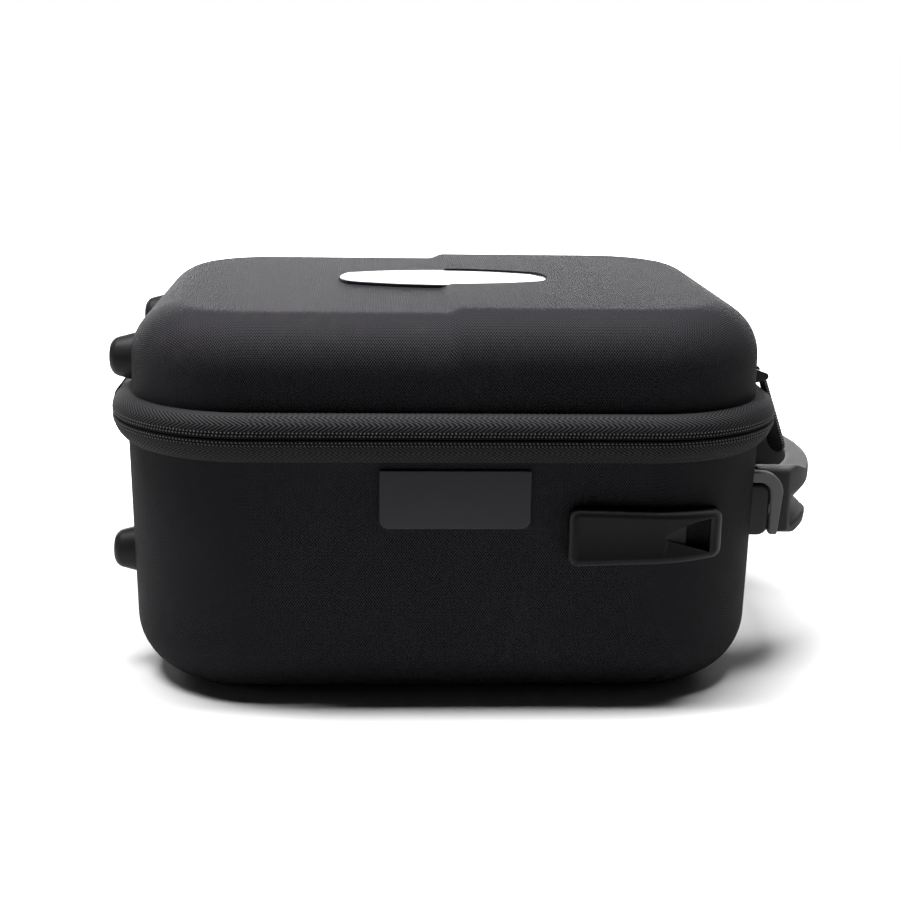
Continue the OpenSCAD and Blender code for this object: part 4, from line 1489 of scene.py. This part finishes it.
@dataclass
class Grip:
    """The rubber grip: a bow between the shrouds, with a groove under its outer rim."""

    arc_x: float = 70.94 * MM
    arc_radius: float = 171.06 * MM
    groove: tuple[tuple[float, float], ...] = (
        (-10.8 * MM, 97.4 * MM), (4 * MM, 114.2 * MM), (16 * MM, 114.6 * MM), (16 * MM, 82 * MM),
        (-10.8 * MM, 96.4 * MM),
    )
    groove_half: float = 97 * MM
    middle: float = 104 * MM
    end_top: float = 124.7 * MM
    end_rise: float = 2.6 * MM
    end_from: float = 60 * MM
    end_full: float = 88 * MM
    grain: float = 0.9 * MM

    def groove_room(self) -> Body:
        """Models the groove's room: a wedge carried along the bow."""
        turn = math.asin(self.groove_half / self.arc_radius)
        rings = [(self.arc_radius + out, z) for out, z in self.groove]
        start = [(self.arc_x + r * math.cos(turn), -r * math.sin(turn), z) for r, z in rings]
        body = start_loop("groove", start, filled=True)
        with editing(body):
            bpy.ops.mesh.spin(steps=40, angle=-2 * turn, center=(self.arc_x, 0, 0), axis=(0, 0, 1))
        tidy(body)
        return body

    def build(self) -> Body:
        """Models the grip, its edges run soft and its ends raised to the shrouds."""
        body = copied("handle_grip", "grip")
        cut(body, self.groove_room())
        melted(body, self.grain, 18)
        for vert in body.data.vertices:
            up = max(0.0, (vert.co.z - self.middle) / (self.end_top - self.middle))
            vert.co.z += self.end_rise * soft_way(abs(vert.co.y), self.end_from, self.end_full) * up
        smoothed(body, 60)
        return body


@dataclass
class StrapBracket:
    """The small bracket on the lid that holds the strap's pin between two arms."""

    pivot_x: float = 194.3 * MM
    middle_z: float = 181.5 * MM
    taper_from: float = 189.5 * MM
    slim: float = 0.56
    nose: float = 2.2 * MM

    def build(self) -> Body:
        """Models the bracket, its arms tapered to round noses about the pin."""
        body = moulded("strap_anchor", "strap_bracket", 0.3 * MM, 14)
        for vert in body.data.vertices:
            way = way_from(vert.co.x, self.taper_from, self.pivot_x)
            out, rise = vert.co.x - self.pivot_x, (vert.co.z - self.middle_z) * (1 - (1 - self.slim) * way)
            if out > 0 and math.hypot(out, rise) > self.nose:
                size = self.nose / math.hypot(out, rise)
                out, rise = out * size, rise * size
            vert.co.x, vert.co.z = self.pivot_x + out, self.middle_z + rise
        return body


@dataclass
class Strap:
    """The webbing strap on the lid's handle side."""

    pivot: Point = (194.291 * MM, -72 * MM, 181.5 * MM)
    lean: float = 19.4
    width: float = 19.2 * MM
    thickness: float = 1.6 * MM
    length: float = 52 * MM
    twist: float = 20.0
    straight: float = 14 * MM
    rows: int = 26
    columns: int = 12

    def build(self) -> Body:
        """Models the strap: a flat band of webbing with a round end, hanging with a slight turn."""
        body = start_cube(
            "strap_webbing", (-self.thickness / 2, -self.width / 2, -self.length),
            (self.thickness / 2, self.width / 2, 0),
        )
        with editing(body):
            choose(body, Part.EDGE, lambda place, way: abs(way.z) > 0.9)
            bpy.ops.mesh.subdivide(number_cuts=self.rows)
            choose(body, Part.EDGE, lambda place, way: abs(way.y) > 0.9)
            bpy.ops.mesh.subdivide(number_cuts=self.columns)
        self.round_tail(body)
        self.lay(body)
        eased(body, 0.35 * MM, 2, 60)
        self.turn_tail(body)
        self.hang(body)
        smoothed(body, 50)
        return body

    def turn_tail(self, body: Body) -> None:
        """Turns the tail inwards about its near edge, as webbing that has been folded hangs."""
        near = -self.width / 2
        for vert in body.data.vertices:
            turn = math.radians(self.twist) * soft_way(-vert.co.z, self.straight, self.length)
            x, y = vert.co.x, vert.co.y - near
            vert.co.x = x * math.cos(turn) - y * math.sin(turn)
            vert.co.y = near + x * math.sin(turn) + y * math.cos(turn)

    def round_tail(self, body: Body) -> None:
        """Draws the lower end into a half round."""
        half = self.width / 2
        for vert in body.data.vertices:
            past = -(vert.co.z + self.length - half)
            if past > 0:
                vert.co.y *= math.sqrt(max(0.0, 1 - (past / half) ** 2)) * 0.98 + 0.02

    def lay(self, body: Body) -> None:
        """Lays the weave along the strap."""
        lay_cloth(body, lambda place: (place.z, place.y))

    def hang(self, body: Body) -> None:
        """Leans the strap out over the band from its pivot."""
        lean = Matrix.Rotation(math.radians(-self.lean), 4, "Y")
        body.data.transform(Matrix.Translation(self.pivot) @ lean)


@dataclass
class FoamSet:
    """The foam on the floor, the insert with its pockets, and the block in the lid."""

    plan: Plan
    shell: Shell
    inset: float = 6.5 * MM
    floor_low: float = 6.5 * MM
    floor_high: float = 28 * MM
    insert_low: float = 28.5 * MM
    insert_high: float = 158 * MM
    lid_low: float = 164 * MM
    lid_high: float = 219.5 * MM
    edge: float = 2.2 * MM
    mount_radius: float = 62 * MM
    mount_middle: tuple[float, float] = (62 * MM, 62 * MM)
    mic_plan: Rectangle = (-160 * MM, -136 * MM, 75 * MM, -64 * MM)
    supply_plan: Rectangle = (-154 * MM, -42 * MM, -28 * MM, 124 * MM)
    cable_plan: Rectangle = (98 * MM, -124 * MM, 154 * MM, -12 * MM)
    mic_floor: float = 70 * MM
    cable_floor: float = 88 * MM
    mic_corner: float = 35.9 * MM
    box_corner: float = 14 * MM
    foot_y: Span = (69 * MM, 91 * MM)
    base_foot_room: tuple[Span, Span, Span] = ((-200 * MM, -176 * MM), foot_y, (64 * MM, 86 * MM))
    lug_room: tuple[Span, Span, Span] = ((68 * MM, 117 * MM), (148 * MM, 170 * MM), (92 * MM, 115 * MM))
    handle_room: tuple[Span, Span, Span] = ((166 * MM, 200 * MM), (92 * MM, 112 * MM), (86 * MM, 122 * MM))
    strap_room: tuple[Span, Span, Span] = ((176 * MM, 200 * MM), (57 * MM, 87 * MM), (173 * MM, 190 * MM))
    lid_foot_z: Span = (182 * MM, 204 * MM)

    def pad(self, name: str, low: float, high: float, radius: float, turn: float, up: bool) -> Body:
        """Shapes a block with round upright corners and one end drawn in.

        Args:
            name: The piece's name.
            low: Its lower height.
            high: Its upper height.
            radius: The upright corners' radius.
            turn: The rounding of the drawn-in end, or 0.
            up: Whether the drawn-in end is the upper one.

        Returns:
            The block.
        """
        half_x, half_y = self.plan.centre_x + radius, self.plan.centre_y + radius
        body = rounded_box(name, (-half_x, -half_y, low), (half_x, half_y, high), radius, 24)
        sign = 1 if up else -1
        if turn:
            with editing(body):
                choose(body, Part.FACE, lambda place, way: way.z * sign > 0.9)
                bevelled(body, turn, 10)
        return body

    def leaned(self, body: Body, inset: float) -> None:
        """Draws a block in along the base's leaning walls.

        Args:
            body: The block.
            inset: How far its walls stand inside the shell's outside.
        """
        for vert in body.data.vertices:
            core, out = self.plan.from_core(vert.co.x, vert.co.y)
            if out.length > 1 * MM:
                spot = core + out * (1 - self.shell.lean(vert.co.z) / (self.shell.corner_radius - inset))
                vert.co.x, vert.co.y = spot

    def pocket(self, plan: Rectangle, low: float, high: float, corner: float) -> Body:
        """A box with round upright corners between two heights, to be cut out."""
        return rounded_box("pocket", (*plan[:2], low), (*plan[2:], high), corner, 16)

    def finish(self, body: Body) -> Body:
        """Rounds the cut edges, as foam gives."""
        eased(body, self.edge, 4, 50)
        smoothed(body, 40)
        return body

    def bottom(self) -> Body:
        """Models the foam on the floor."""
        radius, turn = self.shell.corner_radius - self.inset, self.shell.floor_radius - self.inset
        body = self.pad("floor_pad", self.floor_low, self.floor_low + 60 * MM, radius, turn, False)
        with editing(body):
            bpy.ops.mesh.bisect(
                plane_co=(0, 0, self.floor_high), plane_no=(0, 0, 1), clear_outer=True, use_fill=True
            )
        self.leaned(body, self.inset)
        return self.finish(body)

    def room(self, side: Side, x: Span, y: Span, z: Span) -> Body:
        """The room that the foam leaves for a fixing on the wall behind it."""
        ends = sorted(side.value * end for end in y)
        return start_cube("room", (x[0], ends[0], z[0]), (x[1], ends[1], z[1]))

    def insert(self) -> Body:
        """Models the insert: a block with four pockets, and room for the fixings behind it."""
        low, high = self.insert_low, self.insert_high
        radius = self.shell.corner_radius - self.inset
        body = self.pad("pocket_foam", low, high, radius, 0, False)
        self.leaned(body, self.inset)
        over, under = high + 20 * MM, low - 20 * MM
        bpy.ops.mesh.primitive_cylinder_add(
            vertices=96, radius=self.mount_radius, depth=over - under,
            location=(*self.mount_middle, (over + under) / 2),
        )
        mount = fresh("ring")
        mic = self.pocket(self.mic_plan, self.mic_floor, over, self.mic_corner)
        supply = self.pocket(self.supply_plan, under, over, self.box_corner)
        cable = self.pocket(self.cable_plan, self.cable_floor, over, self.box_corner)
        cut(body, mic, supply, mount, cable)
        self.finish(body)
        kinds = (self.base_foot_room, self.lug_room, self.handle_room)
        cut(body, *[self.room(side, *kind) for side in Side for kind in kinds])
        smoothed(body, 40)
        return body

    def top(self) -> Body:
        """Models the block in the lid."""
        radius = self.shell.corner_radius - self.shell.lid_inset - self.inset
        turn = self.shell.top_radius - self.inset
        body = self.pad("lid_pad", self.lid_low, self.lid_high, radius, turn, True)
        self.finish(body)
        x = self.plan.centre_x + radius
        rooms = [self.room(Side.FRONT, *self.strap_room)]
        for side in Side:
            rooms.append(self.room(side, (-x - 5 * MM, -x + 6 * MM), self.foot_y, self.lid_foot_z))
        cut(body, *rooms)
        smoothed(body, 40)
        return body


@dataclass
class HingeCloth:
    """The strip of cloth along the hinge wall that joins both tapes."""

    x: float = -199 * MM
    half_length: float = 78 * MM
    low: float = 150 * MM
    high: float = 172 * MM
    seam: float = 161 * MM
    thickness: float = 1 * MM
    rows: int = 24
    columns: int = 40

    def build(self, band: ZipBand) -> Body:
        """Models the strip, close on both tapes.

        Args:
            band: The zip band whose outside it follows.

        Returns:
            The strip.
        """
        bpy.ops.mesh.primitive_grid_add(x_subdivisions=self.columns, y_subdivisions=self.rows, size=1)
        body = fresh("hinge_cloth")
        height = self.high - self.low
        for vert in body.data.vertices:
            y, z = vert.co.x * 2 * self.half_length, self.low + (vert.co.y + 0.5) * height
            vert.co = (-(band.plan.centre_x + self.face(band, z)), y, z)
        lay_cloth(body, lambda place: (place.y, place.z - self.seam))
        with editing(body):
            bpy.ops.mesh.normals_make_consistent(inside=False)
        if body.data.polygons[0].normal.x > 0:
            with editing(body):
                bpy.ops.mesh.flip_normals()
        modified(body, "SOLIDIFY", thickness=self.thickness, offset=1.0, use_even_offset=True, use_rim=True)
        eased(body, 0.3 * MM, 2, 60)
        smoothed(body, 50)
        return body

    def flat_height(self, band: ZipBand) -> float:
        """How high the strip is when it lies flat, measured along its curve."""
        heights = np.linspace(self.low, self.high, 200)
        outs = [self.face(band, z) for z in heights]
        return float(np.hypot(np.diff(heights), np.diff(outs)).sum())

    def face(self, band: ZipBand, z: float) -> float:
        """How far the tapes' outside stands from the corners' axes at a height."""
        seam = band.shell.seam
        if z < seam:
            return band.reach - band.below + math.sqrt(band.below ** 2 - (seam - z) ** 2)
        past = z - (seam + band.above - band.round_above)
        if past <= 0:
            return band.reach
        return band.reach - band.round_above + math.sqrt(max(0.0, band.round_above ** 2 - past ** 2))


# ---------------------------------------------------------------- the scene


@dataclass
class Studio:
    """The floor, the light and the camera."""

    camera_place: Point = (-0.0485, -1.0375, 0.3682)
    forward: Point = (0.05253, 0.96999, -0.23741)
    right: Point = (0.99862, -0.05039, 0.01506)
    up: Point = (-0.00264, 0.23787, 0.97129)
    lens: float = 64.57
    sensor: float = 36.0
    floor_half: float = 6.0
    surround: float = 0.003
    bounce: Colour = (0.50, 0.489, 0.484)
    footprint: tuple[float, float] = (0.114, 0.084)
    fade: Span = (0.18, 0.50)
    lamps: tuple[tuple[str, Point, Point, Span, float], ...] = (
        ("overhead", (-0.2, -0.03, 1.7), (-0.2, -0.03, 0.0), (1.6, 0.42), 82.0),
        ("backdrop", (0.0, 2.4, 0.42), (0.0, 0.0, 0.2), (3.6, 0.7), 72.0),
        ("left_side", (-2.2, -0.2, 0.45), (-0.1, 0, 0.12), (1.2, 0.9), 1.0),
        ("right_side", (2.2, 0.2, 0.45), (0.1, 0, 0.12), (1.2, 0.9), 0.6),
    )

    def camera(self) -> None:
        """Sets up the camera at the photograph's place."""
        data = bpy.data.cameras.new("camera")
        data.lens, data.sensor_width, data.sensor_fit = self.lens, self.sensor, "HORIZONTAL"
        data.clip_start, data.clip_end = 0.01, 50
        camera = bpy.data.objects.new("camera", data)
        bpy.context.collection.objects.link(camera)
        back = -Vector(self.forward)
        camera.matrix_world = Matrix.Translation(self.camera_place) @ Matrix(
            (Vector(self.right), Vector(self.up), back)
        ).transposed().to_4x4()
        bpy.context.scene.camera = camera

    def lamp(self, name: str, place: Point, aim: Point, size: tuple[float, float], power: float) -> None:
        """Adds a soft box.

        Args:
            name: The lamp's name.
            place: Where it hangs.
            aim: The point it faces.
            size: Its width and height.
            power: Its watts.
        """
        data = bpy.data.lights.new(name, "AREA")
        data.shape, data.size, data.size_y, data.energy = "RECTANGLE", size[0], size[1], power
        lamp = bpy.data.objects.new(name, data)
        bpy.context.collection.objects.link(lamp)
        lamp.location = place
        lamp.rotation_euler = (Vector(aim) - Vector(place)).to_track_quat("-Z", "Y").to_euler()

    def world(self) -> None:
        """White surroundings as the camera sees them, and dim ones for everything else."""
        world = bpy.data.worlds.new("studio")
        bpy.context.scene.world = world
        world.use_nodes = True
        tree = world.node_tree
        shine = tree.nodes["Background"]
        path = tree.nodes.new("ShaderNodeLightPath")
        level = tree.nodes.new("ShaderNodeMix")
        level.data_type = "RGBA"
        colours = [socket for socket in level.inputs if socket.enabled]
        colours[1].default_value = (*[self.surround] * 3, 1)
        colours[2].default_value = (1, 1, 1, 1)
        tree.links.new(path.outputs["Is Camera Ray"], colours[0])
        tree.links.new([socket for socket in level.outputs if socket.enabled][0], shine.inputs["Color"])

    def floor(self) -> None:
        """Lays the white floor, which keeps the case's shadow and runs out into plain white."""
        bpy.ops.mesh.primitive_plane_add(size=2 * self.floor_half)
        floor = fresh("floor")
        look = Look("floor_white")
        look.set(Roughness=0.9, Specular_IOR_Level=0.1, Emission_Strength=1.0)
        seen = look.node("ShaderNodeLightPath", {}, out="Is Camera Ray")
        look.feed("Base Color", look.tint(seen, self.bounce, (0.85, 0.85, 0.85)))
        sides = look.node("ShaderNodeVectorMath", {"operation": "ABSOLUTE"}, look.place())
        away = look.node("ShaderNodeVectorMath", {"operation": "SUBTRACT"}, sides, (*self.footprint, 0.0))
        beyond = look.node("ShaderNodeVectorMath", {"operation": "MAXIMUM"}, away, (0.0, 0.0, 0.0))
        reach = look.node("ShaderNodeVectorMath", {"operation": "LENGTH"}, beyond, out="Value")
        share = reach.spread(*self.fade) * seen
        look.feed("Emission Color", look.tint(share, (0.0, 0.0, 0.0), (1.0, 1.0, 1.0)))
        floor.data.materials.append(look.material)

    def build(self) -> None:
        """Builds the studio."""
        self.camera()
        self.world()
        self.floor()
        for row in self.lamps:
            self.lamp(*row)
        bpy.context.scene.view_settings.view_transform = "Standard"


# ------------------------------------------------------------------ assembly


@dataclass
class Case:
    """The whole case: builds each sub-assembly and puts it on its body."""

    wardrobe: Wardrobe
    plan: Plan = field(default_factory=Plan)
    made: list[str] = field(default_factory=list)
    foot_y: float = 80 * MM
    base_foot_z: float = 71.6 * MM
    base_screw_z: float = 75 * MM
    lid_foot_z: float = 191 * MM
    lid_foot_face: float = -200.3 * MM
    blend: float = 3 * MM

    def __post_init__(self) -> None:
        """Sets up the parts that share the plan."""
        self.shell = Shell(self.plan)
        self.band = ZipBand(self.plan, self.shell)

    def fit(self, piece: Body, slot: str, body: str, *nodes: str) -> Body:
        """Dresses a piece, puts it on its body and hides the nodes it stands for.

        Args:
            piece: The finished piece.
            slot: Its finish.
            body: The CAD body it rides on.
            *nodes: The CAD nodes that it replaces.

        Returns:
            The piece.
        """
        self.wardrobe.dress(piece, slot)
        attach(piece, body)
        if nodes:
            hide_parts(*nodes)
        self.made.append(piece.name)
        log.info("%s: %d faces on %s", piece.name, len(piece.data.polygons), body)
        return piece

    def shells(self) -> None:
        """The moulded halves and their linings."""
        shell, plate = self.shell, Plate()
        self.fit(shell.base_half("base_skin", 0, shell.wall), "shell_cloth", "base", "base_shell")
        self.fit(shell.base_half("base_inside", shell.wall, shell.lining),
                 "lining_cloth", "base", "base_lining")
        skin = shell.lid_half("lid_skin", 0, shell.wall, True)
        cut(skin, plate.prism("seat", plate.gap, plate.top - plate.depth, plate.top + 20 * MM))
        smoothed(skin)
        self.fit(skin, "shell_cloth", "lid", "lid_shell")
        self.fit(shell.lid_half("lid_inside", shell.wall, shell.lining, False),
                 "lining_cloth", "lid", "lid_lining")
        self.fit(plate.frame(), "plate_black", "lid", "plate_rim")
        self.fit(plate.face(), "plate_white", "lid", "plate_face")

    def zip(self) -> None:
        """The tapes, the coils and their stitches."""
        band = self.band
        self.fit(band.tape("base_tape", *band.base_outline()), "zip_tape", "base", "base_zip_tape")
        self.fit(band.tape("lid_tape", *band.lid_outline()), "zip_tape", "lid", "lid_zip_tape")
        self.fit(band.coil("base_coil", -1), "zip_coil", "base", "base_zip_teeth")
        self.fit(band.coil("lid_coil", 1), "zip_coil", "lid", "lid_zip_teeth")
        self.fit(band.stitches("base_stitches", -1), "stitch_thread", "base")
        self.fit(band.stitches("lid_stitches", 1), "stitch_thread", "lid")

    def hardware(self) -> None:
        """Feet, lugs, tag, handle, sliders and strap."""
        shell, plan = self.shell, self.plan
        for side in Side:
            end = side.name.lower()
            foot_y = side.value * self.foot_y
            wall = plan.centre_x + shell.wall_at(self.base_screw_z)
            self.fit(Foot(f"base_{end}_foot", wall, foot_y, self.base_foot_z).build(),
                     "foot_plastic", "base", f"base_foot_{end}")
            wall = plan.centre_x + shell.corner_radius - shell.lid_inset
            self.fit(Foot(f"lid_{end}_foot", wall, foot_y, self.lid_foot_z, self.lid_foot_face).build(),
                     "foot_plastic", "lid", f"lid_foot_{end}")
            self.fit(Lug(side, shell, plan).build(), "lug_plastic", "base", f"lug_{end}")
            self.fit(HandleEnd(side).mount(), "mount_plastic", "base", f"handle_mount_{end}")
            self.fit(HandleEnd(side).shroud(), "shroud_rubber", "base", f"handle_shroud_{end}")
            self.fit(edged(f"slider_{end}", f"{end}_slider_body", 0.35 * MM, 3),
                     "slider_metal", f"{end}_slider", f"slider_{end}")
            self.fit(edged(f"pull_{end}", f"{end}_pull_tab", 0.5 * MM, 3), "pull_rubber", f"{end}_pull",
                     f"pull_{end}")
        self.fit(edged("name_tag", "blank_tag", 0.8 * MM, 4), "tag_rubber", "base", "name_tag")
        self.fit(Grip().build(), "handle_rubber", "handle", "handle_grip")
        self.fit(StrapBracket().build(), "mount_plastic", "lid", "strap_anchor")
        self.fit(Strap().build(), "webbing", "strap", "lid_strap")

    def soft(self) -> None:
        """The foam, and the cloth strip of the hinge."""
        foam = FoamSet(self.plan, self.shell)
        for piece, body, node, fill in (
            (foam.bottom(), "base", "foam_floor", 0.9), (foam.insert(), "base", "foam_insert", 0.95),
            (foam.top(), "lid", "lid_foam", 0.9),
        ):
            self.fit(piece, "foam", body, node)
        strip = HingeCloth()
        cloth = strip.build(self.band)
        self.wardrobe.dress(cloth, "zip_tape")
        low, high = strip.seam - self.blend, strip.seam + self.blend
        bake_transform(cloth)
        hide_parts("hinge_cloth_base", "hinge_cloth_lid")
        strip.flat_height(self.band)

    def carried_nodes(self) -> None:
        """Dresses the CAD nodes that stay as they are."""
        slots = {row["node"]: row["material_slot"] for row in FRAME["record"]["subparts"]}
        for name, node in FRAME["nodes"].items():
            if not node.hide_render:
                self.wardrobe.dress_node(node, slots[name])
                log.info("%s: CAD node in %s", name, slots[name])

    def build(self) -> None:
        """Builds everything in order."""
        self.shells()
        self.zip()
        self.hardware()
        self.soft()
        self.carried_nodes()


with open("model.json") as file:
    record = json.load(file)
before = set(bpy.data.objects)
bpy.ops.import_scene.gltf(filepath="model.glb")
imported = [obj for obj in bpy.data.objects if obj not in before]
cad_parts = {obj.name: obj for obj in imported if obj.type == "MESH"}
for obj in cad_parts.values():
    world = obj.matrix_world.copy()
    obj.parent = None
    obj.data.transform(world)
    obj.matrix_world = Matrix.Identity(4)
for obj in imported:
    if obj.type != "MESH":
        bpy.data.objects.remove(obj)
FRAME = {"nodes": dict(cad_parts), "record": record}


def main() -> None:
    """Builds the case and the studio."""
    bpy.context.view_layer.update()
    case = Case(Wardrobe())
    case.build()
    Studio().build()
    log.info("%d pieces made", len(case.made))


if __name__ == "__main__":
    main()
